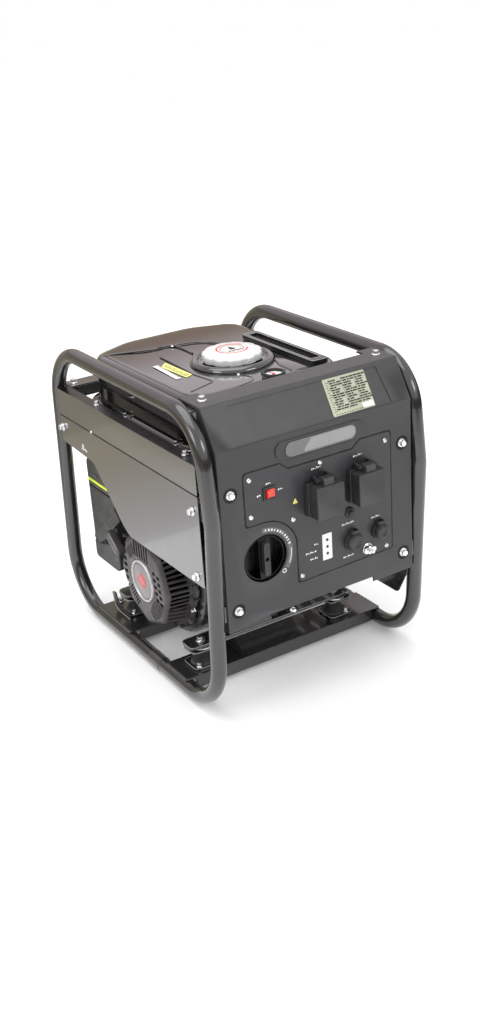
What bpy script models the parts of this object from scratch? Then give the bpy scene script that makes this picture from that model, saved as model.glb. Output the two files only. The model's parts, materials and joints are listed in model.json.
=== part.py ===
"""Open-frame inverter generator: bent tube frame, plastic front cover with a control panel, fuel
tank, single-cylinder engine with recoil starter and flywheel alternator, inverter module.

Sizes are millimetres in the code and metres in the scene. X is right as seen from the control
panel, Y runs back from the face of the front cover, Z is up from the floor. FACE_Y puts that face
where the origin ends up below the middle of the whole object.
"""

import math

import bmesh
import bpy
from mathutils import Matrix, Vector

MM = 0.001
FACE_Y = -243.76
GAP = 0.3

# Frame
TUBE_R = 12.0
TUBE_SIDES = 12
LOOP_X = 182.0
RAIL_Z = TUBE_R
LOOP_CORNERS = ((22, RAIL_Z), (0, 326), (16, 480), (478, 480), (514, RAIL_Z))
LOOP_BENDS = (90, 60, 80, 90, 90)
MEMBER_TOP = 27.4
MOUNT_SPOTS = ((-140, 145), (115, 145), (-140, 365), (115, 365))
ARM_Z = 62.0

# Front cover and control panel
COVER_X = 168.5
COVER_BOTTOM = 151.0
COVER_NOTCH = 160.0
COVER_BEND = 430.0
COVER_TOP = 488.0
CREASE_Y = 34.0
COVER_BACK = 92.0
COVER_T = 3.0
COVER_BOLTS = ((-150, 364), (150, 364), (-150, 183), (150, 183))
TOP_BOLT_Y = 58.0
PANEL_FRONT = -0.6
PANEL_T = 2.4
KNOB_X, KNOB_Z, KNOB_R = -99.6, 252.3, 35.6
AC_CENTRES = ((-3.0, 324.5), (71.5, 324.5))
DC_CENTRES = ((53.5, 233.0, 14.0), (102.7, 236.0, 12.0))
ROCKER_X, ROCKER_Z = -87.0, 351.0
BREAKER_X, BREAKER_Z = 49.5, 281.0
EARTH_X, EARTH_Z = 80.4, 211.8

# Side panels
PANEL_X = 190.0
SHEET = 1.6
SHELF_Z = 413.0
SHELF_INNER = 171.5

# Fuel tank
TANK_CORNERS = ((-148, 96), (128, 96), (128, 418), (52, 456), (-72, 456), (-148, 418))
TANK_ROUNDING = (48, 48, 40, 70, 70, 40)
TANK_SEAM = 396.0
TANK_TOP = 474.0
TANK_FLOOR = 352.0
CAP_X, CAP_Y, CAP_R = 0.0, 222.0, 47.0
GAUGE_X, GAUGE_Y = 6.0, 116.0

# Engine
CRANK_Y, CRANK_Z = 248.0, 142.0
CYLINDER_TILT = math.radians(25)
CASE_X0, CASE_X1 = -45.0, 70.0
DIPSTICK = (206.0, 88.0)
RECOIL_FACE = -178.0
GRIP_Y, GRIP_Z, GRIP_TILT = 340.0, 175.0, math.radians(36)
BLOWER_X0, BLOWER_X1, BLOWER_R = -126.0, -46.0, 105.0


def material(name, colour, roughness, metallic=0.0):
    made = bpy.data.materials.new(name)
    made.use_nodes = True
    shader = made.node_tree.nodes["Principled BSDF"]
    shader.inputs["Base Color"].default_value = (*colour, 1.0)
    shader.inputs["Roughness"].default_value = roughness
    shader.inputs["Metallic"].default_value = metallic
    made.diffuse_color = (*colour, 1.0)
    return made


def clear_scene():
    for old in list(bpy.data.objects):
        bpy.data.objects.remove(old)


# Meshes, in millimetres


def outward(mesh):
    """The closed mesh with all its faces turned outwards."""
    bmesh.ops.recalc_face_normals(mesh, faces=mesh.faces)
    if mesh.calc_volume(signed=True) < 0:
        bmesh.ops.reverse_faces(mesh, faces=mesh.faces)
    return mesh


def lifted(u, v, w, axis):
    """The point at (u, v) of the plane across axis, at w along it."""
    return {"x": (w, u, v), "y": (u, w, v), "z": (u, v, w)}[axis]


def block(x0, x1, y0, y1, z0, z1):
    mesh = bmesh.new()
    bmesh.ops.create_cube(mesh, size=1.0)
    size = Matrix.Diagonal((x1 - x0, y1 - y0, z1 - z0, 1.0))
    centre = Matrix.Translation(((x0 + x1) / 2, (y0 + y1) / 2, (z0 + z1) / 2))
    bmesh.ops.transform(mesh, matrix=centre @ size, verts=mesh.verts)
    return mesh


def prism(outline, axis, low, high):
    """An outline across axis, extruded from low to high."""
    mesh = bmesh.new()
    base = mesh.faces.new([mesh.verts.new(lifted(u, v, low, axis)) for u, v in outline])
    extruded = bmesh.ops.extrude_face_region(mesh, geom=[base])["geom"]
    far_end = [item for item in extruded if isinstance(item, bmesh.types.BMVert)]
    bmesh.ops.translate(mesh, verts=far_end, vec=lifted(0, 0, high - low, axis))
    return outward(mesh)


def turned(profile, axis, centre, sides=32, radius_at=None):
    """A closed (radius, along) profile spun about a line along axis through centre."""
    mesh = bmesh.new()
    start = math.pi / sides
    corners = [mesh.verts.new((r * math.cos(start), r * math.sin(start), along)) for r, along in profile]
    edges = []
    for i, corner in enumerate(corners):
        if profile[i][0] > 0 or profile[i - 1][0] > 0:
            edges.append(mesh.edges.new((corners[i - 1], corner)))
    bmesh.ops.spin(mesh, geom=corners + edges, axis=(0, 0, 1), cent=(0, 0, 0), angle=math.tau, steps=sides)
    bmesh.ops.remove_doubles(mesh, verts=mesh.verts, dist=0.001)
    for corner in mesh.verts:
        x, y, along = corner.co
        reach = radius_at(math.atan2(y, x) % math.tau) if radius_at else 1.0
        corner.co = lifted(centre[0] + x * reach, centre[1] + y * reach, along, axis)
    return outward(mesh)


def rod(axis, centre, radius, low, high, sides=24):
    return turned([(0, low), (radius, low), (radius, high), (0, high)], axis, centre, sides)


def filleted(corners, radii, step_degrees=10.0, closed=True):
    """The polyline through these corners with each rounded to its radius."""
    count, points = len(corners), []
    for i, (corner, radius) in enumerate(zip(corners, radii)):
        here = Vector(corner)
        if radius == 0 or (not closed and i in (0, count - 1)):
            points.append(tuple(here))
            continue
        into = (Vector(corners[i - 1]) - here).normalized()
        out = (Vector(corners[(i + 1) % count]) - here).normalized()
        half = into.angle(out) / 2
        centre = here + (into + out).normalized() * (radius / math.sin(half))
        start = here + into * (radius / math.tan(half)) - centre
        end = here + out * (radius / math.tan(half)) - centre
        sweep = math.pi - 2 * half
        steps = max(1, math.ceil(math.degrees(sweep) / step_degrees))
        for k in range(steps + 1):
            a, b = math.sin(sweep * (1 - k / steps)), math.sin(sweep * k / steps)
            points.append(tuple(centre + (start * a + end * b) / math.sin(sweep)))
    return points


def grown(corners, distance):
    """The corners of a convex outline with every side moved outwards by distance."""
    moved = []
    for i, corner in enumerate(corners):
        here = Vector(corner)
        into = (Vector(corners[i - 1]) - here).normalized()
        out = (Vector(corners[(i + 1) % len(corners)]) - here).normalized()
        half = into.angle(out) / 2
        moved.append(tuple(here - (into + out).normalized() * (distance / math.sin(half))))
    return moved


def rounded_rectangle(x0, x1, y0, y1, radius, step_degrees=18.0):
    return filleted(((x0, y0), (x1, y0), (x1, y1), (x0, y1)), (radius,) * 4, step_degrees)


def skinned(rings, closed):
    """A closed body through rings of points: bridged ring to ring, and capped or joined end to end."""
    mesh = bmesh.new()
    loops = []
    for ring in rings:
        corners = [mesh.verts.new(point) for point in ring]
        loops.append([mesh.edges.new(pair) for pair in zip(corners, corners[1:] + corners[:1])])
    following = loops[1:] + loops[:1] if closed else loops[1:]
    for first, second in zip(loops, following):
        bmesh.ops.bridge_loops(mesh, edges=first + second)
    if not closed:
        for end in (loops[0], loops[-1]):
            bmesh.ops.edgeloop_fill(mesh, edges=end)
    return outward(mesh)


def loft(sections):
    """A closed solid through level outlines, each ([(x, y), ...], z)."""
    return skinned([[(x, y, z) for x, y in outline] for outline, z in sections], False)


def swept(path, radius, sides, across, closed):
    """A tube of regular section along path. A flat of the section faces away from across x tangent."""
    rings, count = [], len(path)
    reach = radius / math.cos(math.pi / sides)
    for i, centre in enumerate(path):
        before = Vector(path[i - 1] if closed or i else path[0])
        after = Vector(path[(i + 1) % count] if closed or i < count - 1 else path[-1])
        tangent = (after - before).normalized()
        side = (across - tangent * across.dot(tangent)).normalized()
        up = tangent.cross(side)
        stretch = 1.0
        if closed or 0 < i < count - 1:
            turn = (Vector(centre) - before).angle(after - Vector(centre), 0.0)
            stretch = 1.0 / math.cos(turn / 2)
        ring = []
        for k in range(sides):
            angle = math.tau * (k + 0.5) / sides
            offset = side * math.cos(angle) + up * math.sin(angle) * stretch
            ring.append(tuple(Vector(centre) + offset * reach))
        rings.append(ring)
    return skinned(rings, closed)


def merged(*meshes):
    """One mesh holding these as separate bodies, for a cutter."""
    whole = bmesh.new()
    for mesh in meshes:
        part = bpy.data.meshes.new("part")
        mesh.to_mesh(part)
        whole.from_mesh(part)
        bpy.data.meshes.remove(part)
        mesh.free()
    return whole


# Objects


def placed(name, mesh, pivot=(0.0, 0.0, 0.0)):
    """An object of this mesh in metres, with its origin at pivot."""
    where = Vector((pivot[0], pivot[1] + FACE_Y, pivot[2])) * MM
    mesh.transform(Matrix.Translation((0, FACE_Y, 0)))
    mesh.transform(Matrix.Scale(MM, 4))
    mesh.transform(Matrix.Translation(-where))
    data = bpy.data.meshes.new(name)
    mesh.to_mesh(data)
    mesh.free()
    made = bpy.data.objects.new(name, data)
    made.location = where
    bpy.context.scene.collection.objects.link(made)
    return made


def part(name, mesh, finish, pivot=(0.0, 0.0, 0.0), soften=0.0, segments=2, smooth=35.0):
    """A named piece, with its sharp edges rounded by soften."""
    made = placed(name, mesh, pivot)
    made.data.materials.append(finish)
    made.data.shade_smooth()
    made.data.set_sharp_from_angle(angle=math.radians(smooth))
    if soften:
        bevel = made.modifiers.new("edges", "BEVEL")
        bevel.width = soften * MM
        bevel.segments = segments
        bevel.limit_method = "ANGLE"
        bevel.angle_limit = math.radians(40)
    return made


def combined(target, operation, *meshes):
    """Cuts these meshes from target, or joins them to it."""
    for mesh in meshes:
        helper = placed(f"{target.name}_{operation.lower()}_{len(target.modifiers)}", mesh)
        helper.hide_render = True
        helper.display_type = "WIRE"
        change = target.modifiers.new(operation.lower(), "BOOLEAN")
        change.operation = operation
        change.object = helper
        change.solver = "EXACT"
    return target


def cut(target, *meshes):
    return combined(target, "DIFFERENCE", *meshes)


def joined(target, *meshes):
    return combined(target, "UNION", *meshes)


# Frame


def frame_loop(name, side, finish):
    path = filleted(LOOP_CORNERS, LOOP_BENDS, 15.0)
    centre_line = [(side * LOOP_X, y, z) for y, z in path]
    loop = part(name, swept(centre_line, TUBE_R, TUBE_SIDES, Vector((1, 0, 0)), True), finish)

    def tab(x0, x1, y0, y1, z0, z1):
        return block(*sorted((side * x0, side * x1)), y0, y1, z0, z1)

    cover_tabs = [tab(140, 176, 3.5, 7, z - 13, z + 13) for x, z in COVER_BOLTS if x * side > 0]
    top_tab = tab(138, 178, TOP_BOLT_Y - 13, TOP_BOLT_Y + 13, 479, 482)
    panel_tabs = [tab(184, 188.5, 4, 50, z - 12, z + 12) for z in (341, 238)]
    rear_tab = tab(184, 188.5, 454, 488, 335, 359)
    return joined(loop, *cover_tabs, top_tab, *panel_tabs, rear_tab)


def cross_member(name, y0, y1, finish):
    """A pressed channel whose top plate lies over both rails, with its flanges between them."""
    plate = part(name, block(-186, 186, y0, y1, MEMBER_TOP - 3, MEMBER_TOP), finish)
    inner = LOOP_X - TUBE_R - GAP
    flanges = [block(-inner, inner, y, y + 3, 6, MEMBER_TOP - 1) for y in (y0, y1 - 3)]
    return joined(plate, *flanges)


def rubber_mount(name, x, y, finish):
    low, high = MEMBER_TOP + GAP, ARM_Z - GAP
    middle = (low + high) / 2
    profile = [(0, low), (19, low), (19, low + 3), (14, low + 6), (12.5, middle)]
    profile += [(14, high - 6), (19, high - 3), (19, high), (0, high)]
    return part(name, turned(profile, "z", (x, y), 14), finish)


def engine_arm(name, y0, y1, foot_y0, foot_y1, finish):
    """A bar across the two rubber mounts with an upright plate against the crankcase."""
    bar = part(name, block(-166, 138, y0, y1, ARM_Z, ARM_Z + 4), finish)
    link_y = sorted((y0, y1, foot_y0, foot_y1))
    web = block(-40, 65, link_y[0] + 1, link_y[-1], ARM_Z, ARM_Z + 4)
    plate = block(-40, 65, foot_y0, foot_y1, ARM_Z + 1, 108)
    return joined(bar, web, plate)


def build_frame(black, rubber):
    frame_loop("frame_loop_left", -1, black)
    frame_loop("frame_loop_right", 1, black)
    cross_member("cross_member_front", 112, 178, black)
    cross_member("cross_member_rear", 300, 418, black)
    for name, (x, y) in zip(("fl", "fr", "rl", "rr"), MOUNT_SPOTS):
        rubber_mount(f"rubber_mount_{name}", x, y, rubber)
    engine_arm("engine_arm_front", 128, 164, 180.5, 184.5, black)
    engine_arm("engine_arm_rear", 347, 382, 328.5, 332.5, black)
    rear = part("rear_cross_plate", block(-169.5, 169.5, 463, 494, 409, 412), black)
    joined(rear, block(-169.5, 169.5, 491, 494, 380, 410))


# Sheet side panels


def side_panel(name, side, outline, finish):
    """A flat sheet between the legs of one loop, with its top edge folded inwards as a shelf."""
    outer = side * (PANEL_X + SHEET)
    low, high = sorted((side * PANEL_X, outer))
    panel = part(name, prism(outline, "x", low, high), finish)
    shelf_low, shelf_high = sorted((side * SHELF_INNER, outer))
    shelf = block(shelf_low, shelf_high, 24, 468, SHELF_Z - SHEET, SHELF_Z)
    ridge = block(*sorted((side * (PANEL_X + 0.6), side * (PANEL_X + SHEET + 1.2))), 21, 470, 367, 369)
    return joined(panel, shelf, ridge)


def build_side_panels(sheet_black):
    left = ((20, 225), (251, 223), (271, 235), (358, 315), (471, 321), (471, SHELF_Z), (20, SHELF_Z))
    outline = filleted(left, (4, 30, 30, 20, 6, 0, 0), 15)
    side_panel("side_panel_left", -1, outline, sheet_black)
    right = ((24, 150), (66, 72), (471, 72), (471, SHELF_Z), (20, SHELF_Z))
    outline = filleted(right, (10, 12, 12, 0, 0), 20)
    panel = side_panel("side_panel_right", 1, outline, sheet_black)
    slots = []
    for row in range(7):
        for column in range(3):
            y, z = 140 + 105 * column, 120 + 30 * row
            slots.append(block(PANEL_X - 4, PANEL_X + 6, y, y + 84, z, z + 9))
    cut(panel, merged(*slots))


# Front cover


def cover_outline(grow):
    """The side view of the cover, moved inwards by grow, as (y, z)."""
    slope = math.atan2(COVER_TOP - COVER_BEND, CREASE_Y)
    lean = grow * math.tan((math.pi / 2 - slope) / 2)
    top_shift = grow * math.tan(slope / 2)
    return [
        (grow, COVER_BOTTOM - 5 if grow else COVER_BOTTOM),
        (grow, COVER_BEND - lean),
        (CREASE_Y + top_shift, COVER_TOP - grow),
        (COVER_BACK + (5 if grow else 0), COVER_TOP - grow),
        (COVER_BACK + (5 if grow else 0), COVER_TOP - 14),
        (22, COVER_BEND - 14),
        (26, COVER_BOTTOM - 5 if grow else COVER_BOTTOM),
    ]


def panel_outline(grow=0.0):
    """The control panel's outline as (x, z): a corner is taken out round the engine knob."""
    reach = 57.0 - grow
    left, right, low, high = -128 - grow, 127.5 + grow, 196 - grow, 389 + grow
    inner = -44.0 - grow
    start = math.acos((inner - KNOB_X) / reach)
    arc = []
    for i in range(9):
        angle = start + (math.radians(92) - start) * i / 8
        arc.append((KNOB_X + reach * math.cos(angle), KNOB_Z + reach * math.sin(angle)))
    shelf_z = arc[-1][1]
    lower = filleted(((inner, arc[0][1] - 4), (inner, low), (right, low)), (0, 5, 0), 30, False)[:-1]
    corners = ((right, low), (right, high), (72, high), (58, high - 11), (-54, high - 11), (-67, high))
    corners += ((left, high), (left, shelf_z), (KNOB_X - 8, shelf_z))
    upper = filleted(corners, (5, 6, 4, 4, 4, 4, 7, 5, 0), 30)
    return lower + upper + arc[::-1][1:]


def build_cover(plastic):
    outline = cover_outline(0.0)
    cover = part("front_cover", prism(outline, "x", -COVER_X, COVER_X), plastic, soften=2.5)
    inside = COVER_X - COVER_T
    hollow_outline = cover_outline(COVER_T)[:4] + [(COVER_BACK + 5, 300), (COVER_BACK + 5, 140)]
    cut(cover, prism(hollow_outline, "x", -inside, inside))
    cut(cover, block(-96, 92, -5, 60, 100, COVER_NOTCH))
    hollow = prism(panel_outline(-5), "y", -8, 8)
    seat = prism(panel_outline(0.5), "y", -8, PANEL_FRONT + PANEL_T + GAP)
    knob_hole = rod("y", (KNOB_X, KNOB_Z), KNOB_R + 1.0, -8, 12, 36)
    cut(cover, seat, hollow, knob_hole)
    surround = rounded_rectangle(-74, 80, 393, 421, 13.5)
    joined(cover, prism(surround, "y", -2.6, 1.5))
    # Housing that the engine knob sits in
    bore, rim = KNOB_R + 0.7, KNOB_R + 3.2
    cup = [(bore, 2.0), (rim, 2.0), (rim, 30), (6, 30), (6, 27.5), (bore, 27.5)]
    joined(cover, turned(cup, "y", (KNOB_X, KNOB_Z), 36))
    slope = Vector((COVER_TOP - COVER_BEND, -CREASE_Y)).normalized()
    recess = [(-135, 3.0), (134, 3.0), (127, 60), (-129, 60)]
    cutter = prism(recess, "y", -6.0, 1.2)
    cutter.transform(Matrix.Rotation(-math.atan2(-slope.y, slope.x), 4, "X"))
    cutter.transform(Matrix.Translation((0, 0, COVER_BEND)))
    cut(cover, cutter)
    sink = [rod("y", spot, 9.5, -6, 1.2, 20) for spot in COVER_BOLTS]
    # Notches in the side flanges where the frame's tabs pass
    for side in (-1, 1):
        low, high = sorted((side * 164, side * 172))
        sink += [block(low, high, 2.9, 7.4, z - 13.6, z + 13.6) for x, z in COVER_BOLTS if x * side > 0]
        sink.append(block(low, high, TOP_BOLT_Y - 13.6, TOP_BOLT_Y + 13.6, 465, 483))
    cut(cover, merged(*sink))


def on_slope(x0, x1, up0, up1, proud, thick):
    """A plate on the sloping face, between two distances up the slope."""
    plate = block(x0, x1, -proud - thick, -proud, up0, up1)
    plate.transform(Matrix.Rotation(-math.atan2(CREASE_Y, COVER_TOP - COVER_BEND), 4, "X"))
    plate.transform(Matrix.Translation((0, 0, COVER_BEND)))
    return plate


def build_panel(plastic, dark, light, grey, red, chrome):
    panel = part("control_panel", prism(panel_outline(), "y", PANEL_FRONT, PANEL_FRONT + PANEL_T), plastic)
    holes = [rod("y", spot, 23.0, -5, 5, 32) for spot in AC_CENTRES]
    holes += [rod("y", (x, z), r - 0.5, -5, 5, 24) for x, z, r in DC_CENTRES]
    holes.append(rod("y", (BREAKER_X, BREAKER_Z), 4.7, -5, 5, 20))
    holes.append(rod("y", (EARTH_X, EARTH_Z), 3.4, -5, 5, 16))
    holes.append(block(ROCKER_X - 9.4, ROCKER_X + 9.4, -5, 5, ROCKER_Z - 8.4, ROCKER_Z + 8.4))
    cut(panel, merged(*holes))
    collar = [(4.7, -4.2), (6.6, -4.2), (8.2, -2.6), (8.2, -0.2), (4.7, -0.2)]
    joined(panel, turned(collar, "y", (BREAKER_X, BREAKER_Z), 20))
    part("rating_plate", on_slope(31, 105, 4, 60, -0.9, 0.6), light)
    badge = rounded_rectangle(-58, 64, 396, 418, 10.5)
    part("badge", prism(badge, "y", -3.8, -2.6 - GAP), grey)

    button = [(0, -7.4), (3.6, -7.4), (4.2, -6.8), (4.2, 6), (0, 6)]
    part("breaker_button", turned(button, "y", (BREAKER_X, BREAKER_Z), 20), dark, (BREAKER_X, 0, BREAKER_Z))

    for i, (x, z) in enumerate(AC_CENTRES, 1):
        build_ac_socket(i, x, z, dark)
    for i, (x, z, r) in enumerate(DC_CENTRES, 1):
        build_dc_socket(i, x, z, r, dark)

    bezel = part(
        "eco_switch_body",
        block(ROCKER_X - 11, ROCKER_X + 11, -2.8, PANEL_FRONT - GAP, ROCKER_Z - 10, ROCKER_Z + 10),
        dark,
    )
    joined(bezel, block(ROCKER_X - 9, ROCKER_X + 9, -1.5, 16, ROCKER_Z - 8, ROCKER_Z + 8))
    cut(bezel, block(ROCKER_X - 7.6, ROCKER_X + 7.6, -6, 12, ROCKER_Z - 6.6, ROCKER_Z + 6.6))
    paddle = [(-6.6, -6.3), (0, -4.4), (6.6, -6.3), (6.2, 2), (3, 6.5), (-3, 6.5), (-6.2, 2)]
    rocker = prism([(u, v) for u, v in paddle], "z", -6.2, 6.2)
    rocker.transform(Matrix.Rotation(math.radians(8), 4, "Z"))
    rocker.transform(Matrix.Translation((ROCKER_X, 1.5, ROCKER_Z)))
    part("eco_rocker", rocker, red, (ROCKER_X, 1.5, ROCKER_Z))

    stud = [(0, -17), (2.4, -17), (3, -16.2), (3, -4.4), (7.5, -4.4), (7.5, PANEL_FRONT - GAP)]
    stud += [(3, PANEL_FRONT - GAP), (3, 14), (0, 14)]
    part("earth_stud", turned(stud, "y", (EARTH_X, EARTH_Z), 20), chrome)
    nut = [(3.4, -10), (5.6, -10), (6.6, -9), (6.6, -5.2), (3.4, -5.2)]
    earth_nut = part("earth_nut", turned(nut, "y", (EARTH_X, EARTH_Z), 18), chrome, (EARTH_X, -7.5, EARTH_Z))
    wing = filleted(((-11, -3.4), (-4.8, -5), (-4.8, 5), (-11, 3.4)), (3, 0, 0, 3), 30)
    for flip in (1, -1):
        ear = prism([(EARTH_X + flip * u, EARTH_Z + v) for u, v in wing], "y", -9, -6.5)
        joined(earth_nut, ear)


def build_ac_socket(number, x, z, finish):
    """A flush socket with a deep hinged cover; the cover turns about a bar at its top."""
    flange = block(x - 25, x + 25, -10.3, PANEL_FRONT - GAP, z - 26, z + 25.5)
    body = part(f"ac_socket_{number}", flange, finish, soften=1.2)
    barrel = rod("y", (x, z), 22.6, -3, 22, 32)
    ears = [block(x + s - 1.5, x + s + 1.5, -18, -1.2, z + 24.6, z + 33) for s in (-12, 12)]
    joined(body, barrel, *ears)
    cut(body, rod("y", (x, z), 19.5, -12, 10, 32))
    hinge = (x, -16.0, z + 29.0)
    shell = block(x - 24, x + 24, -31, -10.8, z - 26.5, z + 23.8)
    lid = part(f"ac_lid_{number}", shell, finish, hinge, soften=1.6)
    cut(lid, block(x - 21.5, x + 21.5, -28.5, -8, z - 24, z + 21.3))
    tab = [(-28.5, 18), (-10.9, 18), (-10.9, 30), (-13, 34.6), (-26.5, 34.6), (-28.5, 32)]
    joined(lid, prism([(y, z + up) for y, up in tab], "x", x - 9, x + 9))
    return lid


def build_dc_socket(number, x, z, radius, finish):
    """A round low-voltage socket with a soft cap on a hinge above it."""
    bore, barrel, rim = radius - 3.8, radius - 0.8, radius + 1.4
    seat = PANEL_FRONT - GAP
    body = [(bore, -5), (rim, -5), (rim, seat), (barrel, seat), (barrel, 28), (0, 28), (0, 24), (bore, 24)]
    socket = part(f"dc_socket_{number}", turned(body, "y", (x, z), 28), finish)
    lugs = [block(x + s - 1, x + s + 1, -9.5, -1.2, z + radius, z + radius + 5.5) for s in (-5, 5)]
    joined(socket, *lugs)
    profile = [(0, -14), (radius - 3, -14), (radius - 0.5, -11.5), (radius - 0.5, -5.4), (0, -5.4)]
    hinge = (x, -7.8, z + radius + 3.0)
    cap = part(f"dc_cap_{number}", turned(profile, "y", (x, z), 28), finish, hinge)
    joined(cap, block(x - 3.7, x + 3.7, -10, -5.6, z + radius - 5, z + radius + 5))
    return cap


def build_knob(finish):
    """A round selector with a grip bar between two D-shaped scoops."""
    centre = (KNOB_X, KNOB_Z)
    body = [(0, 2.5), (KNOB_R - 2, 2.5), (KNOB_R, 5), (KNOB_R, 25), (5, 25), (5, 34), (0, 34)]
    knob = part("engine_knob", turned(body, "y", centre, 32), finish, (KNOB_X, 0, KNOB_Z))
    scoops = []
    for flip in (1, -1):
        arc = []
        for i in range(9):
            angle = math.radians(-74 + 148 * i / 8)
            arc.append((KNOB_X + flip * 32 * math.cos(angle), KNOB_Z + 32 * math.sin(angle)))
        scoops.append(prism(arc, "y", -2, 19))
    cut(knob, merged(*scoops))
    bar = rounded_rectangle(KNOB_X - 5, KNOB_X + 5, KNOB_Z - 26, KNOB_Z + 26, 4.5)
    joined(knob, prism(bar, "y", -5, 4))
    cut(knob, rod("y", centre, 2.6, -8, 2, 16))


# Fuel tank and what is on it


def tank_section(grow, z):
    """The tank's outline seen from above, moved outwards by grow, at height z."""
    return filleted(grown(TANK_CORNERS, grow), [radius + grow for radius in TANK_ROUNDING], 18.0), z


def build_tank(gloss, dark, chrome, light):
    upper = loft(
        [
            tank_section(12, TANK_SEAM),
            tank_section(12, TANK_SEAM + 2.5),
            tank_section(0, TANK_SEAM + 3.5),
            tank_section(0, TANK_TOP - 24),
            tank_section(-2.5, TANK_TOP - 12),
            tank_section(-8, TANK_TOP - 4),
            tank_section(-16, TANK_TOP),
        ]
    )
    inner = loft(
        [
            tank_section(-2.5, TANK_SEAM - 5),
            tank_section(-2.5, TANK_TOP - 24),
            tank_section(-6, TANK_TOP - 12),
            tank_section(-12, TANK_TOP - 7),
            tank_section(-22, TANK_TOP - 3),
        ]
    )
    tank = part("fuel_tank_upper", upper, gloss)
    cut(tank, inner, rod("z", (CAP_X, CAP_Y), 24, TANK_TOP - 20, TANK_TOP + 9, 32))

    seam = TANK_SEAM - GAP
    tray = loft(
        [
            tank_section(-24, TANK_FLOOR),
            tank_section(-10, TANK_FLOOR + 6),
            tank_section(0, TANK_FLOOR + 20),
            tank_section(0, seam - 3.5),
            tank_section(12, seam - 2.5),
            tank_section(12, seam),
        ]
    )
    hollow = loft(
        [
            tank_section(-27, TANK_FLOOR + 3),
            tank_section(-13, TANK_FLOOR + 9),
            tank_section(-2.5, TANK_FLOOR + 22),
            tank_section(-2.5, seam + 5),
        ]
    )
    lower = part("fuel_tank_lower", tray, gloss)
    cut(lower, hollow, rod("z", (-58, 300), 3, TANK_FLOOR - 5, TANK_FLOOR + 9, 16))

    top = TANK_TOP + GAP
    centre = (CAP_X, CAP_Y)
    neck = [(20, TANK_TOP - 16), (23.5, TANK_TOP - 16), (23.5, top), (50, top), (54, top), (64, top)]
    neck += [(62, top + 5), (57, top + 7.5), (52, top + 7), (50, top + 2.5), (26, top + 2.5), (26, top + 10)]
    neck += [(20, top + 10)]
    part("filler_neck", turned(neck, "z", centre, 32), gloss)

    low = top + 10.5
    seal = [(5.6, low), (25, low), (25, low + 3.5), (5.6, low + 3.5)]
    cap_seal = part("cap_seal", turned(seal, "z", centre, 20), dark, (CAP_X, CAP_Y, low))
    skirt = [(5.6, low + 1), (5.6, low - 12), (17, low - 12), (17, low + 1)]
    joined(cap_seal, turned(skirt, "z", centre, 20))

    def scalloped(angle):
        return 1.0 - 0.04 * abs(math.sin(angle * 6)) ** 4

    roof = low + 3.5 + GAP
    cap = [(0, roof + 4.5), (30, roof + 4.5), (CAP_R - 4, roof + 3), (CAP_R, roof), (CAP_R, roof - 10)]
    cap += [(CAP_R - 3, roof - 10), (CAP_R - 4, roof - 1), (CAP_R - 6, roof)]
    cap += [(5, roof), (5, low - 8), (0, low - 8)]
    part("fuel_cap", turned(cap[::-1], "z", centre, 48, scalloped), chrome, (CAP_X, CAP_Y, roof))

    gauge = [(0, top), (17.5, top), (17.5, top + 5), (16, top + 6.5), (14, top + 6.5)]
    gauge += [(14, top + 1.8), (0, top + 1.8)]
    part("fuel_gauge", turned(gauge, "z", (GAUGE_X, GAUGE_Y), 24), dark)
    needle = rod("z", (GAUGE_X, GAUGE_Y), 2.2, top + 2.1, top + 3.4, 16)
    pointer = part("gauge_needle", needle, light, (GAUGE_X, GAUGE_Y, top + 2.1))
    joined(pointer, block(GAUGE_X - 0.7, GAUGE_X + 0.7, GAUGE_Y, GAUGE_Y + 11, top + 2.2, top + 3.2))

    tray_outline = rounded_rectangle(73, 104, 112, 312, 5)
    grille = part("grille_tray", prism(tray_outline, "z", top, top + 7), dark)
    cut(grille, prism(rounded_rectangle(78, 99, 124, 304, 3), "z", top + 1.8, top + 12))


# Engine


def engine_side(outline, low, high):
    return prism(outline, "x", low, high)


def tilted(along, across):
    """The (y, z) point at a distance along the cylinder axis and across it."""
    c, s = math.cos(CYLINDER_TILT), math.sin(CYLINDER_TILT)
    return CRANK_Y + along * c - across * s, CRANK_Z + along * s + across * c


def finned(start, end, core, fin, pitch, thick):
    """The outline of a finned block along the cylinder axis."""
    edge = [(start, core)]
    at = start + pitch - thick
    while at + thick <= end:
        edge += [(at, core), (at, fin), (at + thick, fin), (at + thick, core)]
        at += pitch
    edge.append((end, core))
    lower = [(along, -across) for along, across in reversed(edge)]
    return [tilted(along, across) for along, across in edge + lower]


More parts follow.
